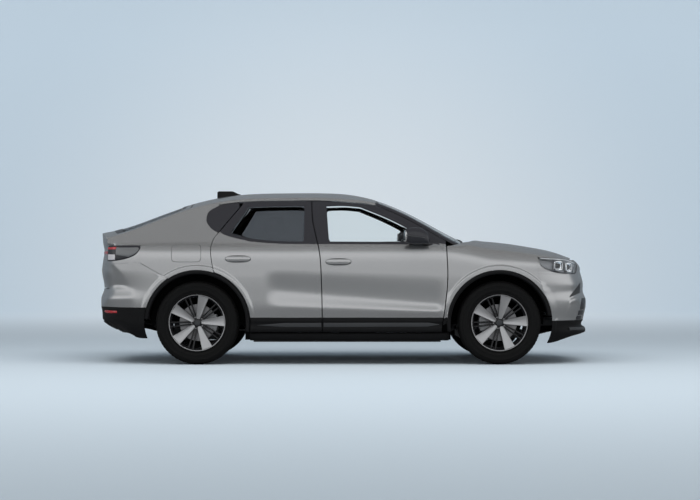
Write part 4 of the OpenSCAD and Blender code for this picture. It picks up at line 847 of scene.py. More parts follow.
def rear_outline() -> DoorOutline:
    """Loops of the rear door, in seven stretches from the belt round to the belt."""
    half, inset, low, gap = LINES.hinge_gap / 2, LINES.edge_inset, LINES.door_low_z, LINES.gap
    hole = chain(*[
        smooth_path([(-385, 1126), (-540, 1128), (-700, 1136)], STEP),
        smooth_path([(-700, 1136), (-860, 1156), (-1020, 1192)], STEP),
        smooth_path([(-1020, 1192), (-1036, 1202), (-1034, 1218)], STEP),
        smooth_path([(-1034, 1218), (-960, 1330), (-892, 1434)], STEP),
        smooth_path([(-892, 1434), (-870, 1448), (-600, 1458), (-378, 1458)], STEP),
        smooth_path([(-378, 1458), (-368, 1446), (-366, 1300), (-368, 1142)], STEP),
        smooth_path([(-368, 1142), (-372, 1130), (-385, 1126)], STEP)])
    wheel = (FORM.axle_rear, FORM.axle_z)
    b_top = float(LINES.top(-297.0)[1])

    def loop(radius: float, rise: float, shift: float, lean: float, drop: float) -> Array:
        """Shut line drawn in by the given distances.

        Args:
            radius: Radius around the wheel.
            rise: Distance above the lower edge.
            shift: Distance ahead of the rear shut line.
            lean: The same along the slanted upper edge.
            drop: Distance below the upper edge.

        Returns:
            Loop of points.
        """
        start = -math.degrees(math.asin((wheel[1] - low - rise) / radius))
        end = math.degrees(math.atan2(846 - wheel[1], -1182 - wheel[0])) - (2 if rise else 0)
        foot = (wheel[0] + radius * math.cos(math.radians(start)), low + rise)
        slant = smooth_path(LINES.split, STEP) + np.array([gap / 2 + 2 + lean, 0])
        return chain(*[
            span((-196 - half - drop, low + rise), foot), arc(wheel, radius, start, end, STEP),
            LINES.run(LINES.rear, 846 + rise, 1218, gap / 2 + shift, STEP), slant,
            tops(-938 + 1.7 * drop, -297 - half - drop, drop),
            LINES.run(LINES.middle, b_top - drop, 1055, -half - drop, STEP),
            LINES.run(LINES.middle, 1055, low + rise, -half - drop, STEP)])

    rim = loop(FORM.trim_radius + gap + 2.5, 0, 0, 0, 0)
    inner = loop(FORM.trim_radius + gap + 2.5 + inset, inset, inset, 1.3 * inset, inset)
    corner = (float(LINES.at(LINES.middle, LINES.belt_z)) - half, LINES.belt_z)
    foot = (corner[0] - 20, LINES.belt_z)
    knee = LINES.run(LINES.middle, b_top, LINES.belt_z + 20, -half, STEP)
    sweep = smooth_path([foot, (-480, 1106), (-683, 1113), (-794, 1121), (-961, 1150), (-1090, 1187),
                         rim[3 * (STEP - 1)]], 3 * (STEP - 1) + 1)
    edge = chain(sweep, rim[3 * (STEP - 1):4 * (STEP - 1) + 1], tops(-938, -297 - half), knee,
                 even_path([knee[-1], corner, foot], STEP))
    return DoorOutline(hole, rim, inner, edge)


DOORS = {"front": front_outline(), "rear": rear_outline()}


def ring_grid(hole: Array, rim: Array, rings: int) -> Array:
    """Parameters of a panel with a hole: straight mixes of two loops with as many points."""
    t = np.linspace(0, 1, rings)[None, :, None]
    return mix(hole[:, None], rim[:, None], t)


def both_sides(half: Array) -> Array:
    """Loop across the middle: a half loop that starts and ends on it, and its mirror image."""
    return np.concatenate([half, half[-2:0:-1] * np.array([-1.0, 1.0])])


def stretches(*paths: Array) -> Array:
    """Paths end to end as one open line without doubled points."""
    return np.concatenate([p[:-1] for p in paths[:-1]] + [paths[-1]])


def fender_top(x: Array | float) -> Array:
    """Upper edge of the fender: beside the bonnet, then down to the door."""
    x = np.asarray(x, float)
    e = np.maximum(x, 1150.0)
    z = FORM.edge_z(e, FORM.bonnet_edge_y(e) + LINES.gap)
    return np.stack([x, mix(1084.0, z, ease((x - 944) / 206))], axis=-1)


def lamp_top(x: Array | float) -> Array:
    """Upper edge of the headlamp, below a painted brow."""
    x = np.asarray(x, float)
    return np.minimum(982 - 0.062 * (x - 1773), fender_top(x)[..., 1] - 9)


@dataclass
class BodyShell:
    """Fixed painted panels, dark lower panels and trims of the body."""

    body: str = "body"
    skin: float = 8.0
    rail_width: float = 58.0
    roof_x: tuple[float, float] = (300.0, -1420.0)
    rail_x: tuple[float, float] = (1036.0, -1150.0)
    dark_x: float = 292.0
    lamp_front_x: float = 1773.0
    lamp_rear_x: float = -1865.0
    shut_top_z: float = 1092.0
    nose_split: float = 400.0
    tail_split: float = 522.0
    flap_top_z: float = 1118.0
    flap_mid: tuple[float, float] = (-1440.0, 1018.0)
    flap_half: tuple[float, float] = (132.0, 77.5)

    def build(self) -> None:
        """Makes every fixed panel."""
        self.roof()
        self.fin()
        for hand in HANDS:
            self.rails(hand)
            self.rear_pillar(hand)
            self.fender(hand)
            self.arch_trims(hand)
            self.wheelhouse(hand)
            self.sill(hand)
            self.corner_cover(hand)
        self.quarters()
        self.front_bumper()
        self.rear_bumper()
        self.cowl()

    def roof(self) -> None:
        """Roof skin: rows along X, columns across between the rails."""
        x = np.linspace(*self.roof_x, 60)[:, None]
        u = np.linspace(-1, 1, 49)[None, :]
        y = u * (FORM.crease_y(x) - self.rail_width - 0.4)
        grid = np.stack([x + 0 * u, y, FORM.roof_z(x, y)], axis=-1)
        Sheet("roof_skin", self.body, PAINT, ("roof",), self.skin, 1.5).lay(grid)

    def fin(self) -> None:
        """Roof fin: arched sections that rise and narrow towards the rear."""
        t = np.linspace(0, 1, 24)[:, None]
        a = np.radians(np.linspace(180, 0, 17))[None, :]
        x = mix(-1000.0, -1224.0, t)
        foot = FORM.roof_line(x) - 3
        top = np.maximum(foot + 3, 1624 - 30 * (1 - ease(t * 2.6)) - 10 * ease((t - 0.94) * 16))
        width = 33 * np.sqrt(np.maximum(0.03, np.sin(np.pi * mix(0.10, 0.95, t))))
        y = width * np.cos(a) * (1 - 0.45 * np.sin(a) ** 2)
        sections = np.stack([x + 0 * a, y, mix(foot, top, np.sin(a) ** 1.3)], axis=-1)
        Piece("roof_fin", self.body, CLAD).put(*closed_loft(sections), angle=60)

    def rail(self, name: str, x0: float, x1: float, finish: Finish, hand: Hand,
             replaced: tuple[str, ...]) -> None:
        """One stretch of the rail above the doors.

        Args:
            name: Name of the piece.
            x0, x1: Ends along X.
            finish: Its finish.
            hand: Side of the car.
            replaced: Nodes it stands for.
        """
        x = np.linspace(x0, x1, 80)
        y, z = FORM.crease_y(x), FORM.crease_z(x)
        inner, low = y - self.rail_width, z - LINES.rail_drop
        on_roof = [np.stack([x, y - d, FORM.roof_z(x, y - d)], axis=-1) for d in (58, 40, 24, 12, 5)]
        on_side = [np.stack([x, FORM.house_y(x, z - d), z - d], axis=-1) for d in (3.5, 9, 16, 24)]
        under = [np.stack([x, FORM.house_y(x, low) - 52, low - 10], axis=-1),
                 np.stack([x, inner, FORM.roof_z(x, inner) - 36], axis=-1)]
        sections = np.stack(on_roof + on_side + under, axis=1)
        Piece(name, self.body, finish, replaced).put(*closed_loft(mirrored(sections, hand)), angle=44)

    def rails(self, hand: Hand) -> None:
        """Painted rail above the doors and dark pillar ahead of it."""
        self.rail(f"roof_rail_{hand.word}", self.dark_x, self.rail_x[1], PAINT, hand, ("side_frames",))
        self.rail(f"a_pillar_{hand.word}", self.rail_x[0], self.dark_x, GLOSS, hand, ())

    def rear_pillar(self, hand: Hand) -> None:
        """Rear pillar on the side surface, turned over onto the roof surface at its top."""
        lift = np.array([0.0, 1.0])
        joint = even_path([(float(LINES.at(LINES.rear, self.flap_top_z)) - 3, self.flap_top_z),
                           (-1600, self.flap_top_z), (-1700, self.shut_top_z), (-2190, self.shut_top_z)], 70)
        edge = np.concatenate([LINES.run(LINES.rear, self.flap_top_z, 1200, -3, 12)[:-1],
                               smooth_path(LINES.pillar, 30)])
        tip = np.array([[-1150.4, float(FORM.crease_z(-1150.4)) - 4]])
        front = even_path(np.concatenate([edge, tip]), 44)
        x = np.linspace(-1150.4, -2190, 70)
        high = np.stack([x, FORM.crease_z(x) - 4], axis=-1)
        back = even_path([joint[-1], high[-1]], 44)
        side = FORM.side(patch(joint + lift, high, front, back))
        last = side[-1, :, 0]
        over = np.stack([np.stack([last, FORM.crease_y(last) - d, FORM.roof_z(last, FORM.crease_y(last) - d)],
                                  axis=-1)
                         for d in (5, 14, 28, 44, 57)])
        Sheet(f"rear_pillar_{hand.word}", self.body, PAINT, ("c_pillars",), self.skin, 1.5).lay(
            mirrored(np.concatenate([side, over]), hand))

    def quarter_edges(self) -> tuple[Array, Array, Array, Array]:
        """Lower, upper, front and rear edges of a rear quarter, as points (x, z)."""
        wheel, radius = (FORM.axle_rear, FORM.axle_z), FORM.trim_radius + 1.6
        start = (float(LINES.at(LINES.rear, 846.0)) - 3, 846.0)
        foot = (float(FORM.tail_back(np.asarray(790.0))) + 0.5, 790.0)
        angles = [math.degrees(math.atan2(p[1] - wheel[1], p[0] - wheel[0])) for p in (start, foot)]
        low = arc(wheel, radius, angles[0], angles[1], 60)
        low[0], low[-1] = start, foot
        top = even_path([(float(LINES.at(LINES.rear, self.flap_top_z)) - 3, self.flap_top_z),
                         (-1600, self.flap_top_z), (-1700, self.shut_top_z),
                         (self.lamp_rear_x + 0.5, self.shut_top_z)], 60) - np.array([0, 1.0])
        front = LINES.run(LINES.rear, 846, self.flap_top_z - 1, -3, 40)
        rear = even_path([foot, (self.lamp_rear_x + 0.5, 930), top[-1]], 40)
        return low, top, front, rear

    def flap_loop(self, points: Array, grow: float) -> Array:
        """Edge of the charge flap towards each point: a superellipse with a power of 7."""
        v = points - np.asarray(self.flap_mid)
        half = np.asarray(self.flap_half) + grow
        reach = (np.abs(v / half) ** 7).sum(axis=-1, keepdims=True) ** (1 / 7)
        return np.asarray(self.flap_mid) + v / reach

    def quarters(self) -> None:
        """Rear quarters around the wheels; the right one is open at the charge flap."""
        low, top, front, rear = self.quarter_edges()
        Sheet("quarter_left", self.body, PAINT, ("quarters",), self.skin, 1.5).lay(
            FORM.side(patch(low, top, front, rear)))
        rim = even_path(np.concatenate([low, rear[1:], top[-2::-1], front[-2:0:-1], low[:1]]), 361)[:-1]
        grid = FORM.side(ring_grid(self.flap_loop(rim, 3.0), rim, 28))
        Sheet("quarter_right", self.body, PAINT, (), self.skin, 1.5).lay(
            mirrored(grid, Hand.RIGHT), wrap=True)
        box = ring_grid(self.flap_loop(rim, -14.0), self.flap_loop(rim, 6.0), 4)
        well = FORM.side(box, np.array([62.0, 60.0, 12.0, 9.0])[None, :])
        Sheet("inlet_well", self.body, CLAD, (), 3.0, 0.0).lay(mirrored(well, Hand.RIGHT), wrap=True)
        self.inlet()

    def inlet(self) -> None:
        """Blank charging inlet behind the flap: a plate with two turned sockets."""
        turn = np.linspace(0, 2 * np.pi, 120, endpoint=False)
        loop = self.flap_loop(np.asarray(self.flap_mid) + np.stack([np.cos(turn), np.sin(turn)], -1) * 90,
                              -12.0)
        fill = ring_grid(np.broadcast_to(np.asarray(self.flap_mid), loop.shape), loop, 8)
        Sheet("inlet_plate", self.body, CLAD, (), 4.0, 0.0).lay(
            mirrored(FORM.side(fill, 62.0), Hand.RIGHT), wrap=True)
        ring = np.array([(20, 0), (27, 0), (29, 4), (29, 16), (26, 18), (22, 18), (20, 14)], float)
        parts = []
        for dx, dz in ((-34, 8), (34, 8)):
            points, faces = turned(ring, 40)
            base = FORM.side(np.array([self.flap_mid[0] + dx, self.flap_mid[1] + dz]), 62.0)
            parts.append((np.stack([points[:, 0] + base[0], -(base[1] + points[:, 2]),
                                    points[:, 1] + base[2]], -1),
                          faces))
        Piece("inlet_sockets", self.body, GLOSS).put(*join(parts))

    def fender(self, hand: Hand) -> None:
        """Front fender from the door to the lamp, and the brow above the lamp."""
        wheel, radius = (FORM.axle_front, FORM.axle_z), FORM.trim_radius + 2.2
        rear = LINES.run(LINES.front, 360, 1084, LINES.hinge_gap / 2, 36)
        joint = (float(FORM.nose_back(np.asarray(640.0))) - 0.5, 640.0)
        start = 180 + math.degrees(math.asin((FORM.axle_z - 360) / radius))
        end = math.degrees(math.atan2(joint[1] - wheel[1], joint[0] - wheel[0]))
        low = arc(wheel, radius, start, end, 70)
        low[0], low[-1] = rear[0], joint
        corner = fender_top(self.lamp_front_x - 0.5)
        high = fender_top(np.linspace(rear[-1, 0], self.lamp_front_x - 0.5, 70))
        high[0] = rear[-1]
        front = even_path([joint, (self.lamp_front_x - 0.5, 829), corner], 36)
        grid = patch(low, high, rear, front)
        item = Sheet(f"fender_{hand.word}", self.body, PAINT, ("fenders",), 5.0, 1.2).lay(
            mirrored(FORM.side(grid), hand))
        add_finish(item, CLAD, face_centres(item)[:, 2] < FORM.clad_z)
        x = np.linspace(self.lamp_front_x - 0.5, 2164, 60)
        top = fender_top(x)
        foot = np.stack([x, lamp_top(x) + 1.5], axis=-1)
        brow = ring_grid(foot, top, 12)
        Sheet(f"lamp_brow_{hand.word}", self.body, PAINT, (), 4.0, 1.0).lay(mirrored(FORM.side(brow), hand))

    def arch_trims(self, hand: Hand) -> None:
        """Dark trims around the wheels: a rounded profile carried round each arch on the side surface."""
        shape = ((444, -52), (445, -14), (448, -3), (454, 2.5), (464, 3.5), (474, 3.0), (480, 0.5), (482, -6),
                 (482, -24))
        for name, axle, ends in (("front", FORM.axle_front, (8, 190)), ("rear", FORM.axle_rear, (-10, 176))):
            t = np.radians(np.linspace(*ends, 120))[:, None]
            r, out = np.array([s[0] for s in shape])[None, :], np.array([s[1] for s in shape])[None, :]
            p = np.stack([axle + r * np.cos(t), FORM.axle_z + r * np.sin(t)], axis=-1)
            Sheet(f"arch_trim_{name}_{hand.word}", self.body, CLAD, ("arch_trims",), 3.0, 0.0).lay(
                mirrored(FORM.side(p, -out), hand), centre=(axle, 0, FORM.axle_z + 300))

    def wheelhouse(self, hand: Hand) -> None:
        """Dark inner walls behind the wheels: half rings square to Y, clear of the steered wheels."""
        r = np.linspace(70, 452, 12)[:, None]
        t = np.radians(np.linspace(-4, 184, 60))[None, :]
        for name, low_x, high_x in (("front", 872.0, 984.0), ("rear", -908.0, -796.0)):
            x, z = np.linspace(low_x, high_x, 4)[None, :], np.linspace(222, 470, 6)[:, None]
            grid = np.stack([x + 0 * z, 780 + 0 * (x + z), z + 0 * x], axis=-1)
            Sheet(f"splash_plate_{name}_{hand.word}", self.body, LINER, (), 3.0, 0.0).lay(
                mirrored(grid, hand))
        for name, axle, y in (("front", FORM.axle_front, 462.0), ("rear", FORM.axle_rear, 652.0)):
            grid = np.stack([axle + r * np.cos(t), y + 0 * (r + t), FORM.axle_z + r * np.sin(t)], axis=-1)
            Sheet(f"wheelhouse_{name}_{hand.word}", self.body, LINER, (), 3.0, 0.0).lay(mirrored(grid, hand))

    def sill(self, hand: Hand) -> None:
        """Dark sill below the doors: a rounded section carried along X."""
        x = np.linspace(-862, 962, 60)
        shape = ((700, 290), (868, 290), (882, 287), (888, 278), (884, 255), (872, 232), (860, 221),
                 (846, 218), (700, 218))
        end = 1 - 0.02 * (np.abs((x - 50) / 912) ** 24)
        sections = np.stack([np.stack([x, y * end, z + 0 * x], axis=-1) for y, z in shape], axis=1)
        item = Piece(f"sill_{hand.word}", self.body, CLAD, ("side_sills",)).put(
            *closed_loft(mirrored(sections, hand)), angle=35)
        round_edges(item, 3.0)

    def nose_loops(self) -> tuple[Array, Array]:
        """Edge of the grille and outer edge of the front bumper, in face parameters."""
        hole = stretches(
            span((0, 480), (0.42, 480)), smooth_path([(0.42, 480), (0.50, 490), (0.56, 530)], STEP),
            span((0.56, 530), (0.70, 655)), smooth_path([(0.70, 655), (0.74, 700), (0.72, 770)], STEP),
            smooth_path([(0.72, 770), (0.62, 840), (0.5, 872)], STEP), span((0.5, 872), (0, 878)))
        rim = stretches(
            span((0, self.nose_split), (1, self.nose_split)),
            span((1, self.nose_split), (2, self.nose_split)),
            span((2, self.nose_split), (2, 828.6)),
            span((2, 828.6), (1.04, 828.6)),
            smooth_path([(1.04, 828.6), (0.94, 850), (0.88, 908), (0.835, 945)], STEP),
            smooth_path([(0.835, 945), (0.75, 958), (0.4, 958), (0, 957)], STEP))
        return hole, rim

    def front_bumper(self) -> None:
        """Painted bumper around the grille, closed grille with bars, dark lower part and blade."""
        hole, rim = self.nose_loops()
        loop = both_sides(hole)
        Sheet("bumper_front_skin", self.body, PAINT, ("bumper_front",), 6.0, 1.5).lay(
            FORM.nose(ring_grid(loop, both_sides(rim), 18)), wrap=True)
        middle = np.broadcast_to(np.array([0.0, 680.0]), loop.shape)
        Sheet("grille_panel", self.body, CLAD, ("grille",), 6.0, 0.0).lay(
            FORM.nose(ring_grid(middle, loop * np.array([1.01, 1.0]), 8), 22.0), wrap=True)
        self.grille_bars()
        s = np.linspace(-2, 2, 140)[None, :]
        rows = ((0, 0), (0.1, 1), (0.22, 12), (0.36, 18), (0.5, 14), (0.62, 4), (0.74, 2), (0.84, 3),
                (0.9, 10), (1, 34))
        t = np.array([r[0] for r in rows], float)[:, None]
        deep = np.array([r[1] for r in rows], float)[:, None] * mix(1, 0.3, np.clip(np.abs(s) - 1, 0, 1))
        foot = mix(262, 192, ease((np.abs(s) - 0.7) / 1.2))
        grid = FORM.nose(np.stack([s + 0 * t, mix(self.nose_split, foot, t)], axis=-1), deep)
        Sheet("cladding_front_skin", self.body, CLAD, ("cladding_front",), 8.0, 1.5).lay(grid)
        for hand in HANDS:
            self.nose_corner(hand)
        s = np.linspace(-1.34, 1.34, 120)[None, :]
        z = np.linspace(300, 330, 5)[:, None] + 10 * np.clip(np.abs(s) - 0.6, 0, 0.6)
        blade = FORM.nose(np.stack([s + 0 * z, z], axis=-1), np.array([4.0, 0, -1.0, 0, 4.0])[:, None])
        Sheet("splitter_blade", self.body, FACET, (), 5.0, 1.2).lay(blade)

    def nose_corner(self, hand: Hand) -> None:
        """Corner of the front bumper: a dark wedge that paints the shade of a body-colour facet facing down,
        a raised painted vane and a stack of dark cells.
        """
        # Dark wedge sheet: painted shade on a body-colour facet that faces down.
        wedge = patch(even_path([(2079, 612), (2201, 652)], 20), even_path([(2084, 625), (2207, 750)], 20),
                      even_path([(2079, 612), (2084, 625)], 10), even_path([(2201, 652), (2207, 750)], 10))
        Sheet(f"nose_wedge_{hand.word}", self.body, FACET, (), 3.0, 0.8).lay(
            mirrored(FORM.side(wedge, -1.2), hand))
        u, v = np.linspace(0, 1, 24)[None, :], np.linspace(0, 1, 30)[:, None]
        x = mix(mix(2042.0, 2086.0, v), mix(2146.0, 2214.0, v), u)
        z = mix(mix(436.0, 604.0, v), mix(424.0, 642.0, v), u)
        rim = np.minimum(np.minimum(u, 1 - u) * 5, np.minimum(v, 1 - v) * 8)
        lift = 9.0 * ease(rim) * mix(0.5, 1.0, ease((v - 0.62) * 6))
        Sheet(f"nose_vane_{hand.word}", self.body, PAINT, (), 3.0, 0.6).lay(
            mirrored(FORM.side(np.stack([x, z], axis=-1), -0.5 - lift), hand))
        for k, (x0, z0, wide, tall) in enumerate(((2238, 548, 60, 108), (2214, 466, 70, 44),
                                                  (2192, 420, 66, 36))):
            u, v = np.linspace(-0.5, 0.5, 12)[None, :], np.linspace(-0.5, 0.5, 12)[:, None]
            cell = np.stack([x0 + wide * u + 0.2 * tall * v, z0 + tall * v + 0 * u], axis=-1)
            Sheet(f"nose_cell_{k}_{hand.word}", self.body, GLOSS, (), 4.0, 1.0).lay(
                mirrored(FORM.side(cell, -2.0), hand))

    def grille_bars(self) -> None:
        """Raised bars across the grille, each a flat hexagon section carried across the nose."""
        parts = []
        for z, half in ((520, 0.47), (566, 0.55), (612, 0.61), (658, 0.66), (704, 0.69), (750, 0.68),
                        (796, 0.62), (838, 0.53)):
            s = np.linspace(-half, half, 60)[:, None]
            shape = np.array([(-9, 22), (-7, 11), (-2, 8), (2, 8), (7, 11), (9, 22)], float)
            p = np.stack([s + 0 * shape[None, :, 0], z + shape[None, :, 0] + 0 * s], axis=-1)
            parts.append(closed_loft(FORM.nose(p, shape[None, :, 1])))
        Piece("grille_bars", self.body, GLOSS).put(*join(parts))

    def rear_bumper(self) -> None:
        """Painted rear bumper, dark lower part with reflectors and a diffuser blade."""
        s = np.unique(np.concatenate([np.linspace(-2, -1, 40), np.linspace(-1, -0.985, 8),
                                      np.linspace(-0.985, 0.985, 70),
                                      np.linspace(0.985, 1, 8), np.linspace(1, 2, 40)]))[None, :]
        top = mix(688, 926, np.clip((np.abs(s) - 0.985) / 0.015, 0, 1))
        t = np.linspace(0, 1, 22)[:, None]
        p = np.stack([s + 0 * t, mix(self.tail_split, top, t)], axis=-1)
        Sheet("bumper_rear_skin", self.body, PAINT, ("bumper_rear",), 6.0, 1.5).lay(
            FORM.tail(p, self.tail_sculpt(p)))
        s = np.linspace(-2, 2, 140)[None, :]
        rows = ((0, 0), (0.06, 0), (0.12, 3), (0.25, 5), (0.42, 5), (0.5, 8), (0.66, 44), (0.86, 95),
                (1, 120))
        t = np.array([r[0] for r in rows], float)[:, None]
        side = np.clip(np.abs(s) - 1, 0, 1)
        deep = np.array([r[1] for r in rows], float)[:, None] * mix(1, 0.12, ease(side * 1.6))
        foot = mix(276, 236, ease(side * 1.3))
        lower = FORM.tail(np.stack([s + 0 * t, mix(self.tail_split - 0.5, foot, t)], axis=-1), deep)
        Sheet("cladding_rear_skin", self.body, CLAD, ("cladding_rear",), 8.0, 1.5).lay(lower)
        for hand in HANDS:
            s = np.linspace(0.86, 1.26, 40)[None, :]
            z = np.linspace(464, 492, 6)[:, None]
            lens = FORM.tail(np.stack([s + 0 * z, z + 0 * s], axis=-1),
                             np.array([4, 0, -1.5, -1.5, 0, 4])[:, None] + 2)
            Sheet(f"reflector_{hand.word}", self.body, RED, (), 4.0, 0.8).lay(mirrored(lens, hand))
        s = np.linspace(-0.72, 0.72, 60)[None, :]
        z = np.linspace(300, 380, 7)[:, None]
        deep = np.array([104, 84, 66, 50, 36, 24, 16.0])[:, None] - 6
        diffuser = FORM.tail(np.stack([s + 0 * z, z + 0 * s], axis=-1), deep + 0 * s)
        Sheet("diffuser_blade", self.body, FACET, (), 5.0, 1.2).lay(diffuser)

    def tail_sculpt(self, p: Array) -> Array:
        """Form of the rear bumper's sides, as a depth behind the plain surface.

        Behind a slanting crease the surface falls in and comes back at the corner. Below it
        a ledge stands out, highest along one line and fading towards the wheel.

        Args:
            p: Face parameters (s, z).

        Returns:
            Depths in millimetres, negative where the ledge stands out.
        """
        s, z = np.abs(p[..., 0]), p[..., 1]
        x = FORM.tail(p)[..., 0]
        crease = np.interp(z, [650, 671, 834, 909, 926], [-1905, -1933, -2041, -2130, -2150])
        fall = np.clip((crease - x) / 130, 0, 1) * ease((s - 1) / 0.22)
        hollow = 15 * fall * ease((z - 690) / 30) * ease((916 - z) / 30)
        band = np.clip(np.minimum((694 - z) / 84, (z - self.tail_split) / 88), 0, 1)
        ledge = 11 * band * ease((-1895 - x) / 90)
        return hollow - ledge * ease((s - 0.9) / 0.15)

    def cowl(self) -> None:
        """Dark cowl from under the windscreen to under the bonnet."""
        y = np.linspace(-690, 690, 70)[None, :]
        t = np.linspace(0, 1, 14)[:, None]
        back = 1150 - 62 * (y / 726) ** 2 - 16
        front = 1322 - 150 * (np.abs(y) / 720) ** 2 + 30
        x = mix(back, front, t)
        z = mix(FORM.roof_z(back, y) - 12, FORM.edge_z(front, np.abs(y)) - 34, t) - 14 * np.sin(np.pi * t)
        Sheet("cowl_panel", self.body, CLAD, ("cowl",), 5.0, 0.0).lay(np.stack([x, y + 0 * t, z], axis=-1))

    def corner_cover(self, hand: Hand) -> None:
        """Dark cover between the windscreen's foot, the fender and the bonnet."""
        x = np.linspace(950, 1172, 40)
        out = np.stack([x, FORM.side_y(x, fender_top(x)[:, 1]) - 3, fender_top(x)[:, 1] - 3], axis=-1)
        inner = np.stack([x, np.minimum(out[:, 1] - 6, 706 - 0.12 * (x - 950)), 0 * x + 1066], axis=-1)
        t = np.linspace(0, 1, 10)[:, None, None]
        grid = mix(out[None], inner[None], t)
        x, z = np.linspace(896, 990, 4)[None, :], np.linspace(1040, 1132, 4)[:, None]
        plug = np.stack([x + 0 * z, 742 + 0 * (x + z), z + 0 * x], axis=-1)
        Sheet(f"pillar_plug_{hand.word}", self.body, LINER, (), 3.0, 0.0).lay(mirrored(plug, hand))
        Sheet(f"corner_cover_{hand.word}", self.body, CLAD, (), 4.0, 0.0).lay(
            mirrored(grid, hand), centre=(1050, 0, 700))


def add_finish(item: bpy.types.Object, finish: Finish, where: Array) -> None:
    """Gives some faces of a piece a second finish.

    Args:
        item: The piece.
        finish: The second finish.
        where: Truth value for each face.
    """
    item.data.materials.append(finish.material())
    item.data.polygons.foreach_set("material_index", where.astype(np.int32))


def face_centres(item: bpy.types.Object) -> Array:
    """Middles of a piece's faces, in millimetres."""
    flat = np.empty(3 * len(item.data.polygons), np.float32)
    item.data.polygons.foreach_get("center", flat)
    return flat.reshape(-1, 3) / METRES


def inside(points: Array, loop: Array) -> Array:
    """Whether points lie in a loop: an odd number of its edges lies to their right."""
    x, z = points[:, :1], points[:, 1:]
    a, b = loop, np.roll(loop, -1, axis=0)
    spans = (a[None, :, 1] > z) != (b[None, :, 1] > z)
    rise = np.where(b[:, 1] == a[:, 1], 1.0, b[:, 1] - a[:, 1])
    at = a[None, :, 0] + (z - a[None, :, 1]) * (b[:, 0] - a[:, 0])[None] / rise[None]
    return (spans & (x < at)).sum(axis=1) % 2 == 1


def pane_grid(loop: Array, rings: int = 14, shrink: float = 1.0) -> Array:
    """Parameters of a pane that fills a loop, as rings from its middle to its edge."""
    loop = even_path(np.concatenate([loop, loop[:1]]), 121)[:-1]
    middle = loop.mean(axis=0)
    edge = middle + (loop - middle) * shrink
    return ring_grid(np.broadcast_to(middle, loop.shape), edge, rings)


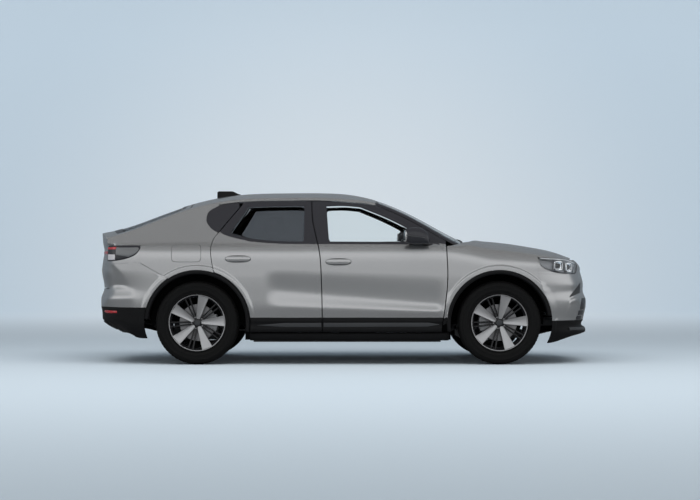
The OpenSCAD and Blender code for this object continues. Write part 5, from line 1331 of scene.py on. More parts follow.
@dataclass
class Door:
    """One side door with its frame, glass, cladding and handle."""

    row: str
    hand: Hand
    handle: tuple[float, float]
    glass: Finish
    outer_steps: int = 36
    depth: float = 100.0
    frame_depth: float = 44.0
    flange: float = 6.0

    @property
    def body(self) -> str:
        """Body that the door rides on."""
        return f"{self.row}_door_{self.hand.word}"

    @property
    def tag(self) -> str:
        """Ending of the names of its pieces."""
        return f"{self.row}_{self.hand.word}"

    def build(self) -> None:
        """Makes the door's pieces."""
        self.shell()
        self.frame()
        self.window()
        self.cladding()
        self.grip()

    def shell(self) -> None:
        """Closed ring from the window's edge over the skin to the shut line and back over the inner box."""
        lines = DOORS[self.row]
        t = np.linspace(0, 1, self.outer_steps)[None, :, None]
        skin = FORM.side(mix(lines.hole[:, None], lines.rim[:, None], t))
        lip = np.stack([FORM.side(lines.rim, self.flange), FORM.side(lines.inner, self.flange)], axis=1)
        back = mix(lines.inner[:, None], lines.hole[:, None], np.linspace(0, 1, 9)[None, :, None])
        deep = mix(self.depth, self.frame_depth, ease((back[..., 1] - 1050) / 60))
        sections = np.concatenate([skin, lip, FORM.side(back, deep)], axis=1)
        points, faces = closed_loft(mirrored(sections, self.hand), ring=True)
        item = Piece(f"door_skin_{self.tag}", self.body, PAINT, (f"door_{self.tag}",)).put(points, faces)
        column = np.arange(len(faces)) % sections.shape[1]
        for finish in (CLAD, GLOSS):
            item.data.materials.append(finish.material())
        centre = face_centres(item)[:, ::2]
        index = np.where((column > self.outer_steps) | (centre[:, 1] < FORM.clad_z - 12), 1,
                         2 * inside(centre, lines.frame))
        item.data.polygons.foreach_set("material_index", index.astype(np.int32))

    def frame(self) -> None:
        """Gloss black frame around the window, just proud of the skin."""
        lines = DOORS[self.row]
        grid = FORM.side(ring_grid(lines.hole, lines.frame, 10), -1.4)
        Sheet(f"window_frame_{self.tag}", self.body, GLOSS, (), 2.4, 0.5).lay(
            mirrored(grid, self.hand), wrap=True)

    def window(self) -> None:
        """Glass pane set behind the skin."""
        lines = DOORS[self.row]
        Sheet(f"door_glass_{self.tag}", self.body, self.glass, (f"glass_{self.tag}",), 4.0, 0.0).lay(
            mirrored(FORM.side(pane_grid(lines.hole, shrink=0.999), 10.0), self.hand), wrap=True)

    def ends(self, z: Array) -> tuple[Array, Array]:
        """Rear and front edge of the door at a height near its foot."""
        half = LINES.hinge_gap / 2
        if self.row == "front":
            return LINES.at(LINES.middle, z) + half, LINES.at(LINES.front, z) - half
        reach = FORM.trim_radius + LINES.gap + 2.5
        return (FORM.axle_rear + np.sqrt(reach ** 2 - (z - FORM.axle_z) ** 2),
                LINES.at(LINES.middle, z) - half)

    def cladding(self) -> None:
        """Dark strip along the door's foot with a satin insert."""
        rows = ((431, 0.2), (429, 4), (424, 5.5), (400, 6), (389, 5.5), (384, 1.5), (345, 1.0), (338, 5.5),
                (318, 5), (304, 3), (299, 0.2))
        z = np.array([r[0] for r in rows], float)[:, None]
        proud = np.array([r[1] for r in rows], float)[:, None]
        low, high = self.ends(z)
        t = np.linspace(0, 1, 60)[None, :]
        grid = FORM.side(np.stack([mix(low + 0.6, high - 0.6, t), z + 0 * t], axis=-1), -proud)
        Sheet(f"door_cladding_{self.tag}", self.body, CLAD, (), 5.0, 0.8).lay(mirrored(grid, self.hand))
        x0, x1 = (-186, 872) if self.row == "front" else (-790, -206)
        x = np.linspace(x0, x1, 60)[None, :]
        v = np.linspace(-1, 1, 7)[:, None]
        half = 19 * np.minimum(1, np.minimum((x + 800) / 260, (882 - x) / 120))
        strip = np.stack([x + 0 * v, 364 + 0.004 * x + half * v], axis=-1)
        Sheet(f"door_insert_{self.tag}", self.body, FACET, (), 3.0, 0.6).lay(
            mirrored(FORM.side(strip, -3.2 + 1.6 * v ** 4), self.hand))

    def grip(self) -> None:
        """Handle: a dark oval dish that paints the shade of a recess, and a painted bar across it."""
        turn = np.linspace(0, 2 * np.pi, 64, endpoint=False)
        oval = np.stack([np.sign(np.cos(turn)) * np.abs(np.cos(turn)) ** 0.72 * 118,
                         np.sign(np.sin(turn)) * np.abs(np.sin(turn)) ** 0.85 * 33], axis=-1)
        grid = ring_grid(np.zeros_like(oval), oval, 5) + np.asarray(self.handle)
        # Painted shade: the dark dish stands 0.7 to 0.9 mm proud of the skin in place of a shaded recess.
        dish_depth = -0.9 + 0.2 * np.linspace(1, 0, 5)[None, :] ** 2
        Sheet(f"handle_dish_{self.tag}", self.body, GLOSS, (), 2.0, 0.0).lay(
            mirrored(FORM.side(grid, dish_depth), self.hand), wrap=True)
        u = np.linspace(-1, 1, 40)[:, None]
        a = np.linspace(0, 2 * np.pi, 20, endpoint=False)[None, :]
        size = np.sqrt(np.maximum(0.02, 1 - np.abs(u) ** 6))
        p = np.stack([self.handle[0] + 114 * u + 0 * a, self.handle[1] + 2 + 26 * size * np.sin(a)], axis=-1)
        bar = FORM.side(p, -(10.5 - 5.5 * u ** 4) - 5.5 * size * np.cos(a))
        Piece(f"handle_bar_{self.tag}", self.body, PAINT).put(
            *closed_loft(mirrored(bar, self.hand)), angle=60)


@dataclass
class Mirror:
    """Door mirror: rounded sections from its foot to its tip, a grey strip that paints a highlight along the
    tip, and the glass.
    """

    hand: Hand
    sections: tuple[tuple[float, ...], ...] = (
        (858, 700, 1106, 120, 8), (872, 694, 1109, 112, 11), (885, 684, 1114, 104, 18),
        (897, 670, 1132, 104, 34),
        (905, 660, 1150, 112, 49), (920, 655, 1164, 118, 63), (935, 655, 1172, 124, 72),
        (968, 655, 1176, 127, 77),
        (990, 655, 1178, 123, 75), (1006, 655, 1179, 115, 69), (1018, 655, 1181, 102, 60),
        (1026, 655, 1182, 82, 46),
        (1030, 655, 1183, 56, 28))

    def ring(self, section: Sequence[float], count: int = 48, grow: float = 0.0) -> Array:
        """One section: a squared circle about its middle."""
        y, x, z, half, tall = section
        a = np.linspace(0, 2 * np.pi, count, endpoint=False)
        c, s = np.cos(a), np.sin(a)
        across = (half + grow) * np.sign(c) * np.abs(c) ** 0.62 * np.where(c > 0, 1.0, 0.85)
        up = (tall + grow) * np.sign(s) * np.abs(s) ** 0.72
        fall = 0.62 * tall * np.maximum(0, across / half) ** 2.2
        return np.stack([x + across, np.full_like(a, y), np.maximum(z + up - fall, z - tall)], axis=-1)

    def build(self) -> None:
        """Makes the housing, the painted highlight strip and the glass."""
        word, body = self.hand.word, f"front_door_{self.hand.word}"
        rings = np.stack([self.ring(s) for s in self.sections])
        foot = rings[0]
        rings[0, :, 1] = np.minimum(FORM.side_y(foot[:, 0], foot[:, 2]) + 0.4, 884)
        Piece(f"mirror_housing_{word}", body, GLOSS, (f"mirror_{word}",)).put(
            *closed_loft(mirrored(rings, self.hand)), angle=60)
        # Grey tube along the housing's tip: a painted highlight on the gloss black housing.
        x = np.linspace(572, 732, 30)
        reach = np.interp(np.abs(x - 655), [56, 82, 102, 115, 123], [1031.0, 1027, 1019, 1007, 991])
        strip = tube(mirrored(np.stack([x, reach - 2, mix(1180.0, 1158.0, (x - 572) / 160)], axis=-1),
                              self.hand), 3.6)
        Piece(f"mirror_strip_{word}", body, FACET).put(*strip)
        a = np.linspace(0, 2 * np.pi, 64, endpoint=False)
        edge = np.stack([968 + 52 * np.sign(np.cos(a)) * np.abs(np.cos(a)) ** 0.5,
                         1176 + 56 * np.sign(np.sin(a)) * np.abs(np.sin(a)) ** 0.6], axis=-1)
        fill = pane_grid(edge, 6)
        back = 655 - 0.85 * np.interp(fill[..., 0], [s[0] for s in self.sections],
                                      [s[3] for s in self.sections]) - 1.0
        grid = np.stack([back + 10 * ((fill[..., 1] - 1176) / 77) ** 2, fill[..., 0], fill[..., 1]], axis=-1)
        Sheet(f"mirror_glass_{word}", body, CHROME, (), 2.0, 0.0).lay(
            mirrored(grid, self.hand), wrap=True, centre=(900, 968 * self.hand.value, 1176))


@dataclass
class Closures:
    """Bonnet, tailgate with its window, light bar and plate, and the charge flap."""

    bonnet_thick: float = 12.0
    gate_top_x: float = -1429.0
    gate_low_z: float = 696.0
    lip: tuple[float, float] = (-2300.0, 1219.0)
    gate_side: float = 64.0
    gate_low_half: float = 610.46
    gate_thick: float = 22.0

    def build(self) -> None:
        """Makes the pieces of the closures."""
        self.bonnet()
        self.tailgate()
        self.flap()

    def bonnet_points(self, v: Array, u: Array, depth: float = 0.0) -> Array:
        """Bonnet: v runs from the rear edge to the front edge, u across; two low ridges run along it.

        Args:
            v, u: Parameters, 0 to 1 and -1 to 1.
            depth: Distance below the skin.

        Returns:
            Points of the bonnet.
        """
        rear_y = u * FORM.bonnet_edge_y(1400.0)
        rear = 1322 - 150 * (np.abs(rear_y) / 720) ** 2
        front = 2168 - 90 * (np.abs(u * 560) / 640) ** 2
        x = mix(rear, front, v)
        edge = FORM.bonnet_edge_y(x)
        y = u * edge
        ridge = 5.0 * np.exp(-((np.abs(u) - mix(0.66, 0.50, v)) / 0.10) ** 2) * (1 - v) ** 0.5 * ease(v * 6)
        return np.stack([x, y, FORM.edge_z(x, y) + ridge * ease((1 - np.abs(u)) * 8) - depth], axis=-1)

    def bonnet(self) -> None:
        """Bonnet skin and its inner frame."""
        v, u = np.linspace(0, 1, 54)[:, None], np.linspace(-1, 1, 55)[None, :]
        Sheet("bonnet_skin", "bonnet", PAINT, ("bonnet",), self.bonnet_thick - 4, 2.0).lay(
            self.bonnet_points(v + 0 * u, u + 0 * v))
        v, u = np.linspace(0.08, 0.92, 24)[:, None], np.linspace(-0.9, 0.9, 51)[None, :]
        inner = self.bonnet_points(v + 0 * u, u + 0 * v, 9.0)
        inner[..., 2] -= 3 * np.cos(5 * np.pi * u) ** 2
        Sheet("bonnet_liner", "bonnet", LINER, (), 3.0, 0.0).lay(inner)

    def tail_x(self, y: Array, z: Array) -> Array:
        """Rear face behind a half-width: a superellipse in plan."""
        round_share = np.maximum(0, 1 - np.minimum(1, np.abs(y) / 880) ** 2.8) ** (1 / 2.8)
        return mix(-1500.0, FORM.tail_line(z), round_share)

    def gate_half(self, v: Array) -> Array:
        """Half-width of the tailgate: below the rails to the lip, then down to its foot."""
        upper = FORM.crease_y(mix(self.gate_top_x, -2170.0, np.minimum(v, 1))) - self.gate_side
        return np.where(v < 1, upper, mix(upper, self.gate_low_half, ease((v - 1) * 5)))

    def gate(self, p: Array, depth: Array | float = 0.0) -> Array:
        """Points of the tailgate.

        Args:
            p: Last axis is (s, v); s runs across, v from the hinge (0) over the lip (1) to the foot (2).
            depth: Distance behind the skin.

        Returns:
            Points.
        """
        s, v = p[..., 0], p[..., 1]
        y = s * self.gate_half(v)
        xc = mix(self.gate_top_x, self.lip[0], v)
        rounding = self.tail_x(y, np.full_like(y, self.lip[1])) - self.lip[0]
        upper_x = xc + rounding * v + depth * ease((v - 0.75) * 4)
        upper_z = FORM.roof_z(xc, y) - depth
        low_z = mix(FORM.roof_z(np.full_like(y, self.lip[0]), y) - 6, self.gate_low_z, v - 1)
        lower_x = self.tail_x(y, low_z) + depth
        lower_z = low_z - depth * ease((1.12 - v) / 0.12)
        on = v <= 1
        return np.stack([np.where(on, upper_x, lower_x), y, np.where(on, upper_z, lower_z)], axis=-1)

    def gate_loops(self) -> tuple[Array, Array]:
        """Edge of the rear window and outer edge of the tailgate."""
        hole = chain(
            smooth_path([(-0.86, 0.12), (0, 0.10), (0.86, 0.12)], STEP),
            smooth_path([(0.86, 0.12), (0.88, 0.15), (0.88, 0.74), (0.87, 0.77)], STEP),
            smooth_path([(0.87, 0.77), (0.865, 0.776), (0.86, 0.78)], STEP),
            smooth_path([(0.86, 0.78), (0, 0.80), (-0.86, 0.78)], STEP),
            smooth_path([(-0.86, 0.78), (-0.865, 0.776), (-0.87, 0.77)], STEP),
            smooth_path([(-0.87, 0.77), (-0.88, 0.74), (-0.88, 0.15), (-0.86, 0.12)], STEP))
        rim = chain(span((-1, 0), (1, 0)), span((1, 0), (1, 1)), span((1, 1), (1, 2)), span((1, 2), (-1, 2)),
                    span((-1, 2), (-1, 1)), span((-1, 1), (-1, 0)))
        return hole, rim

    def tailgate(self) -> None:
        """Tailgate skin, window, light bar, inner trim and a blank plate."""
        hole, rim = self.gate_loops()
        Sheet("tailgate_skin", "tailgate", PAINT, ("tailgate",), 8.0, 1.5).lay(
            self.gate(ring_grid(hole, rim, 36)), wrap=True)
        inner = self.gate(ring_grid(mix(hole, rim, 0.04), mix(hole, rim, 0.94), 15), self.gate_thick)
        Sheet("tailgate_trim", "tailgate", CLAD, (), 3.0, 0.0).lay(inner, wrap=True, centre=(-3200, 0, 1500))
        Sheet("rear_glass", "tailgate", TINT, ("rear_window",), 4.0, 0.0).lay(
            self.gate(pane_grid(hole, 16, 0.995), 4.0), wrap=True)
        band = self.gate(ring_grid(hole, mix(hole, rim, np.where(rim[:, 1:] > 1, 0.06, 0.45)), 6), -1.0)
        Sheet("rear_glass_frame", "tailgate", GLOSS, (), 2.0, 0.4).lay(band, wrap=True)
        s = np.linspace(-0.985, 0.985, 120)[None, :]
        z = np.array([1012.0, 1016, 1026, 1036, 1040])[:, None]
        y = s * self.gate_low_half
        bar = np.stack([self.tail_x(y + 0 * z, z + 0 * y) - np.array([0.0, 2, 3, 2, 0])[:, None], y + 0 * z,
                        z + 0 * y], -1)
        Sheet("tail_light_bar", "tailgate", RED, (), 4.0, 0.8).lay(bar)
        y = np.linspace(-262, 262, 30)[None, :]
        z = np.linspace(772, 884, 8)[:, None]
        plate = np.stack([self.tail_x(y + 0 * z, z + 0 * y) - 4, y + 0 * z, z + 0 * y], axis=-1)
        Sheet("rear_plate", "tailgate", PLATE, (), 3.0, 0.8).lay(plate)

    def flap(self) -> None:
        """Charge flap on the right rear quarter."""
        shell = BodyShell()
        turn = np.linspace(0, 2 * np.pi, 144, endpoint=False)
        around = np.asarray(shell.flap_mid) + np.stack([np.cos(turn), np.sin(turn)], axis=-1) * 100
        loop = shell.flap_loop(around, 0.0)
        grid = FORM.side(ring_grid(np.broadcast_to(np.asarray(shell.flap_mid), loop.shape), loop, 8))
        Sheet("charge_flap_skin", "charge_flap", PAINT, ("charge_flap",), 4.0, 1.0).lay(
            mirrored(grid, Hand.RIGHT), wrap=True)


@dataclass
class Glazing:
    """Fixed glass: windscreen with its dark border, and the side windows behind the rear doors."""

    body: str = "body"

    def build(self) -> None:
        """Makes the fixed panes."""
        v, u = np.linspace(0, 1, 36)[:, None], np.linspace(-1, 1, 37)[None, :]
        grid = self.screen(v, u, 2.0)
        Sheet("windscreen_glass", self.body, CLEAR, ("windscreen",), 4.0, 0.0).lay(grid)
        loop_v = np.concatenate([np.zeros(60), np.linspace(0, 1, 60), np.ones(60), np.linspace(1, 0, 60)])
        loop_u = np.concatenate([np.linspace(-1, 1, 60), np.ones(60), np.linspace(1, -1, 60), -np.ones(60)])
        t = np.linspace(0, 1, 5)[None, :]
        border = self.screen(mix(loop_v[:, None], mix(0.5, loop_v[:, None], 0.84), t),
                             mix(loop_u[:, None], loop_u[:, None] * 0.94, t), 7.5)
        Sheet("windscreen_border", self.body, GLOSS, (), 1.5, 0.0).lay(border, wrap=True)
        loop = self.side_loop()
        for hand in HANDS:
            Sheet(f"quarter_glass_{hand.word}", self.body, GLOSS, ("quarter_windows",), 4.0, 0.8).lay(
                mirrored(FORM.side(pane_grid(loop, 10), 3.0), hand), wrap=True)

    def screen(self, v: Array, u: Array, depth: float) -> Array:
        """Windscreen on the roof surface: v from its foot to the roof, u across, foot bowed forward."""
        edge = mix(1088.0, 300.4, v)
        x = edge + 62 * (1 - u * u) * (1 - v)
        y = u * (FORM.crease_y(x) - 58.4)
        return np.stack([x, y, FORM.roof_z(x, y) - depth], axis=-1)

    def side_loop(self) -> Array:
        """Edge of the fixed side window."""
        front = smooth_path([(-1150, 1222), (-1045, 1352), (-967, 1448)], 30)
        x = np.linspace(-975, -1150, 30)
        top = np.stack([x, FORM.crease_z(x) - LINES.rail_drop - 3], axis=-1)
        back = smooth_path(LINES.pillar, 40)[::-1] + np.array([0.6, 0])
        return even_path(np.concatenate([front, top, back, front[:1]]), 161)[:-1]


def tube(path: Array, radius: float, count: int = 12) -> tuple[Array, list]:
    """Round bar along a path: circles set square to the path's direction."""
    along = np.gradient(path, axis=0)
    along /= np.linalg.norm(along, axis=1, keepdims=True)
    side = np.cross(along, np.array([0.13, 0.21, 1.0]))
    side /= np.linalg.norm(side, axis=1, keepdims=True)
    up = np.cross(side, along)
    a = np.linspace(0, 2 * np.pi, count, endpoint=False)[None, :, None]
    return closed_loft(path[:, None] + radius * (np.cos(a) * side[:, None] + np.sin(a) * up[:, None]))


def aimed(mesh: tuple[Array, Array], centre: Sequence[float], axis: Sequence[float]) -> tuple[Array, Array]:
    """A mesh turned about Z, moved to a centre with its Z along an axis."""
    w = np.asarray(axis, float) / np.linalg.norm(axis)
    u = np.cross(np.array([0.0, 0.0, 1.0]), w)
    u /= np.linalg.norm(u)
    v = np.cross(w, u)
    points, faces = mesh
    return points[:, :1] * u + points[:, 1:2] * v + points[:, 2:] * w + np.asarray(centre), faces


@dataclass
class Lamps:
    """Headlamps and tail lamps."""

    body: str = "body"
    low_z: float = 829.0
    front_x: float = 1773.0
    rear_x: float = -1865.0

    def build(self) -> None:
        """Makes both pairs of lamps."""
        for hand in HANDS:
            self.headlamp(hand)
            self.tail_lamp(hand)

    def head_low(self) -> Array:
        """Lower edge of the headlamp: down and forward from its pointed rear end."""
        return smooth_path([(self.front_x + 8, 966), (1794, 916), (1825, 886), (1875, 862), (1937, 843),
                            (2024, 833),
                            (2130, self.low_z + 2)], 70)

    def head_grid(self, rows: int = 26, cols: int = 70) -> Array:
        """Parameters of the headlamp between its four edges."""
        low = even_path(self.head_low(), cols)
        x = np.linspace(low[0, 0], 2163, cols)
        high = np.stack([x, lamp_top(x)], axis=-1)
        front = even_path(smooth_path([low[-1], (2154, 850), (2163, 900), high[-1]], 40), rows)
        return patch(low, high, even_path([low[0], high[0]], rows), front)

    def headlamp(self, hand: Hand) -> None:
        """Clear cover over a housing with two lens units and a light guide, in a painted corner."""
        word, p = hand.word, self.head_grid()
        Sheet(f"headlamp_cover_{word}", self.body, LENS, (), 2.5, 0.0).lay(mirrored(FORM.side(p, 0.5), hand))
        rows, cols = np.linspace(0, 1, 26), np.linspace(0, 1, 70)
        near = np.minimum.outer(np.minimum(rows, rows[::-1]) * 9, np.minimum(cols, cols[::-1]) * 24)
        edge = 1 - np.clip(near, 0, 1)
        deep = mix(46.0, 4.0, ease(edge))
        item = Sheet(f"headlamp_housing_{word}", self.body, LAMP_DARK, ("headlamps",), 2.0, 0.0).lay(
            mirrored(FORM.side(p, deep), hand))
        add_finish(item, LAMP_GREY, (edge[:-1, :-1] < 0.5).reshape(-1))
        low = even_path(self.head_low(), 60)
        high = np.concatenate([[[self.front_x + 1, lamp_top(self.front_x + 1)]], low - np.array([2.0, 2.0])])
        foot = np.stack([np.maximum(high[:, 0], self.front_x + 1), 0 * high[:, 1] + self.low_z + 0.5],
                        axis=-1)
        Sheet(f"headlamp_corner_{word}", self.body, PAINT, (), 4.0, 0.6).lay(
            mirrored(FORM.side(ring_grid(foot, np.maximum(high, foot + np.array([0, 0.2])), 20)), hand))
        for k, (x, z, wide, tall) in enumerate(((1962, 904, 50, 44), (2066, 889, 44, 42))):
            self.unit(f"{k}_{word}", (x, z), (wide, tall), (0.55 + 0.17 * k, 0.83 - 0.16 * k, 0.0), hand)
        x = np.linspace(1800, 2146, 60)
        guide = np.stack([x, lamp_top(x) - 9 - 6 * ease((x - 2060) / 90)], axis=-1)
        points, faces = tube(mirrored(FORM.side(guide, 9.0), hand), 3.0)
        Piece(f"headlamp_guide_{word}", self.body, GUIDE).put(points, faces)

    def unit(self, tag: str, place: Sequence[float], half: Sequence[float], axis: Sequence[float],
             hand: Hand) -> None:
        """One lens unit: squared rings carried along its axis as a bright bezel round a dark domed lens.

        Args:
            tag: Ending of its names.
            place: Middle on the side surface.
            half: Half width and half height.
            axis: Direction it looks.
            hand: Side of the car.
        """
        a = np.linspace(0, 2 * np.pi, 64, endpoint=False)
        loop = np.stack([np.sign(np.cos(a)) * np.abs(np.cos(a)) ** 0.55,
                         np.sign(np.sin(a)) * np.abs(np.sin(a)) ** 0.55], -1)
        base = FORM.side(np.asarray(place, float), 34.0)
        parts = (("bezel", CHROME, ((1.0, 0), (1.0, 16), (0.96, 19), (0.86, 19), (0.80, 14), (0.80, 0))),
                 ("bowl", CHROME, ((0.79, 1), (0.79, 10), (0.70, 6), (0.5, 5), (0.02, 4), (0.02, 0))),
                 ("dome", LAMP_DARK, ((0.52, 3), (0.52, 10), (0.46, 15), (0.32, 18), (0.15, 19.5),
                                      (0.02, 20))))
        for name, finish, profile in parts:
            scale, high = np.array(profile, float).T
            flat = loop[None] * scale[:, None, None] * np.asarray(half, float)
            rings = np.concatenate([flat, np.broadcast_to(high[:, None, None], (*flat.shape[:2], 1))],
                                   axis=-1)
            points, _ = aimed((rings.reshape(-1, 3), np.empty(0)), base, axis)
            Piece(f"headlamp_{name}_{tag}", self.body, finish).put(
                *closed_loft(mirrored(points.reshape(rings.shape), hand)), angle=40)
        bars = []
        for rows in (slice(9, 24), slice(41, 56)):
            line = np.concatenate([0.90 * loop[rows] * np.asarray(half, float), np.full((15, 1), 19.0)],
                                  axis=-1)
            bars.append(tube(mirrored(aimed((line, np.empty(0)), base, axis)[0], hand), 4.2))
        Piece(f"headlamp_bars_{tag}", self.body, GUIDE).put(*join(bars))

    def tail(self, s: Array, z: Array, proud: Array | float) -> Array:
        """Points of the tail lamp: s from 1 beside the tailgate to 2 at the quarter."""
        p = np.stack([s + 0 * z, z + 0 * s], axis=-1)
        return FORM.face(p, -np.asarray(proud), False, lambda h: np.full_like(h, self.rear_x))

    def tail_low(self, s: Array) -> Array:
        """Lower edge of the tail lamp, which rises to its rounded front end."""
        return Curve(((1.0, 946), (1.3, 952), (1.55, 966), (1.76, 988), (1.88, 1010), (1.96, 1040),
                      (2.0, 1064)), 0.02)(s)

    def tail_lamp(self, hand: Hand) -> None:
        """Grey outer lens under a dark brow, with a red block, a pale lens and a dark corner at the rear."""
        word = hand.word
        s, v = np.linspace(1, 1.995, 70)[None, :], np.linspace(0, 1, 24)[:, None]
        low, high = self.tail_low(s), 1091 - 12 * ease((s - 1.93) / 0.07)
        across = np.sin(np.pi * np.clip(2.02 - s, 0, 1) / 1.02) ** 0.3
        swell = 3.0 * np.sin(np.pi * np.clip(v, 0, 1)) ** 0.5 * across
        Sheet(f"tail_lens_{word}", self.body, GLOSS, ("tail_lamps",), 6.0, 1.0).lay(
            mirrored(self.tail(s, mix(low + 1.5, high, v), swell), hand))
        s, v = np.linspace(1, 2, 70)[None, :], np.linspace(0, 1, 16)[:, None]
        Sheet(f"tail_corner_{word}", self.body, PAINT, (), 5.0, 0.8).lay(
            mirrored(self.tail(s, mix(927.0, self.tail_low(s) - 1.5, v), 0.0), hand))
        blocks = (("outer", SMOKE, (1.28, 1.965), lambda s: np.maximum(self.tail_low(s) + 8,
                                                                       1000 - 40 * (s - 1.28)),
                   lambda s: 1074 - 6 * ease((s - 1.9) / 0.07)),
                  ("red", RED, (1.0, 1.27), lambda s: 1054 + 0 * s, lambda s: 1078 + 0 * s),
                  ("pale", PALE, (1.02, 1.25), lambda s: 956 + 10 * (s - 1), lambda s: 1010 + 0 * s))
        for name, finish, ends, floor, roof in blocks:
            s, v = np.linspace(*ends, 50)[None, :], np.linspace(0, 1, 14)[:, None]
            round_off = 4.0 * (2 * v - 1) ** 8
            Sheet(f"tail_{name}_{word}", self.body, finish, (), 3.0, 0.8).lay(
                mirrored(self.tail(s, mix(floor(s), roof(s), v), 5.0 - round_off), hand))


@dataclass
class Wheel:
    """One wheel: tyre with grooves, barrel, five broad blades over thin spokes, hub and brake disc."""

    row: str
    hand: Hand
    axle_x: float
    track: float = 800.0
    blade_angle: float = 76.0
    blades: int = 5

    @property
    def tag(self) -> str:
        """Ending of the names of its pieces."""
        return f"{self.row}_{self.hand.word}"

    @property
    def body(self) -> str:
        """Body that the wheel rides on."""
        return f"wheel_{self.tag}"

    def place(self, points: Array) -> Array:
        """Wheel coordinates (forward, up, outward) as car coordinates."""
        out = self.hand.value * (self.track + points[..., 2])
        return np.stack([self.axle_x + points[..., 0], out, FORM.axle_z + points[..., 1]], axis=-1)

    def round(self, name: str, finish: Finish, profile: Sequence, count: int = 128,
              replaced: tuple[str, ...] = (), angle: float = 35.0) -> bpy.types.Object:
        """A turned piece from a closed profile of (radius, outward) pairs that runs outwards at its rim."""
        points, faces = turned(np.asarray(profile, float), count)
        faces = faces if self.hand is Hand.RIGHT else faces[:, ::-1]
        return Piece(f"{name}_{self.tag}", self.body, finish, replaced).put(self.place(points), faces, angle)

    def build(self) -> None:
        """Makes the pieces of the wheel."""
        self.tyre()
        self.rim()
        self.spokes()
        self.brake()

    def tyre(self) -> None:
        """Tyre: rounded side walls with rings, tread with four grooves and cut shoulders.

        The profile is turned about the axle; on the shoulders the radius drops by 5 mm in
        a short stretch of each of 64 pitches.
        """
        wall = [(260, 96), (264, 103), (270, 104), (276, 101.5), (280, 105), (296, 110), (299, 111.5),
                (302, 110.5),
                (318, 113), (334, 112.5), (337, 113.5), (340, 111.5), (352, 108), (364, 101), (372, 93),
                (377.5, 84)]
        tread = [(380, 74), (380.5, 58), (372, 57), (372, 47), (381.5, 46), (382, 20), (373.5, 19),
                 (373.5, 9.5), (382, 8.5)]
        half = np.array(wall + tread, float)
        profile = np.concatenate([half, half[::-1] * np.array([1, -1])])
        count = 192
        points, faces = turned(profile, count)
        grid = points.reshape(count, len(profile), 3)
        shoulder = (np.abs(profile[:, 1]) > 57.5) & (np.abs(profile[:, 1]) < 95)
        step = np.arange(count) % 3
        cut = np.where((step < 1)[:, None] & shoulder[None, :], 4.5 / 378, 0.0)
        grid[..., :2] *= 1 - cut[..., None]
        faces = faces if self.hand is Hand.RIGHT else faces[:, ::-1]
        Piece(f"tyre_{self.tag}_rubber", self.body, RUBBER, (f"tyre_{self.tag}",)).put(
            self.place(grid.reshape(-1, 3)), faces, 32)

    def rim(self) -> None:
        """Dark barrel and bright outer ring."""
        self.round("rim_barrel", WHEEL_BLACK, [
            (234, -104), (258, -106), (259, -96), (246, -84), (240, -60), (240, 60), (247, 86), (258.5, 96),
            (259, 102),
            (252, 101), (240, 88), (232, 60), (230, -60)], replaced=(f"rim_{self.tag}",))
        self.round("rim_ring", MACHINED, [(251, 99), (258.8, 99), (259.2, 102.5), (256.5, 105),
                                          (252.5, 104.4), (251, 102.5)])

    def spokes(self) -> None:
        """Blades: grids along the radius and across, narrow at the hub; thin pairs of spokes between them."""
        r = np.concatenate([[37, 39, 43], np.linspace(50, 252, 24)])[:, None]
        c = np.linspace(-1, 1, 11)[None, :]
        wide = np.interp(r, [37, 39, 43, 50, 80, 140, 252], [5, 10, 14.5, 18, 23, 31, 49])
        high = np.interp(r, [37, 60, 150, 235, 252], [72, 77, 88, 98, 101]) - 3.0 * (1 - c * c)
        y = wide * c + 3.0 * (1 - r / 252)
        flat = np.stack([np.sqrt(np.maximum(1, r * r - np.where(r > 240, y * y, 0))) + 0 * c, y + 0 * r,
                         high], axis=-1)
        behind = (self.axle_x, 0.0, FORM.axle_z)
        for k in range(self.blades):
            turn = math.radians(self.blade_angle + k * 360 / self.blades)
            points = self._spun(flat, turn)
            Sheet(f"blade_{k}_{self.tag}", self.body, MACHINED, (), 15.0, 1.6).lay(
                self.place(points), centre=behind)
            self.pair(k, turn + math.pi / self.blades, behind)
        self.round("hub", WHEEL_BLACK, [(8, 30), (64, 30), (66, 44), (62, 58), (44, 66), (37, 70), (30, 70),
                                        (29, 66), (8, 66)], 96)
        self.round("hub_cap", FACET, [(0.5, 60), (27.5, 60), (28, 68), (25, 71.5), (16, 73), (0.5, 73.5)], 64)
        bolt = [(1, 50), (9, 50), (9.5, 62), (8, 64.5), (1, 64.5)]
        parts = []
        for k in range(5):
            a = math.radians(self.blade_angle + 36 + 72 * k)
            points, faces = turned(np.array(bolt, float), 24)
            faces = faces if self.hand is Hand.RIGHT else faces[:, ::-1]
            parts.append((self.place(points + np.array([52 * math.cos(a), 52 * math.sin(a), 0])), faces))
        Piece(f"wheel_bolts_{self.tag}", self.body, STEEL).put(*join(parts))

    @staticmethod
    def _spun(points: Array, turn: float) -> Array:
        """Points turned about the wheel's axle."""
        c, s = math.cos(turn), math.sin(turn)
        x, y = points[..., 0], points[..., 1]
        return np.stack([c * x - s * y, s * x + c * y, points[..., 2]], axis=-1)

    def pair(self, k: int, turn: float, behind: Sequence[float]) -> None:
        """Two thin dark spokes that spread towards the rim."""
        r = np.linspace(50, 246, 20)[:, None]
        c = np.array([-1.0, -0.8, 0.0, 0.8, 1.0])[None, :]
        for side in (-1, 1):
            middle = side * np.interp(r, [50, 246], [9, 21])
            y = middle + 7.5 * c
            h = np.interp(r, [50, 150, 246], [62, 76, 90]) - 3 * c ** 4
            flat = np.stack([r + 0 * c, y, h], axis=-1)
            Sheet(f"spoke_{k}{'ab'[side > 0]}_{self.tag}", self.body, WHEEL_BLACK, (), 16.0, 1.5).lay(
                self.place(self._spun(flat, turn)), centre=behind)

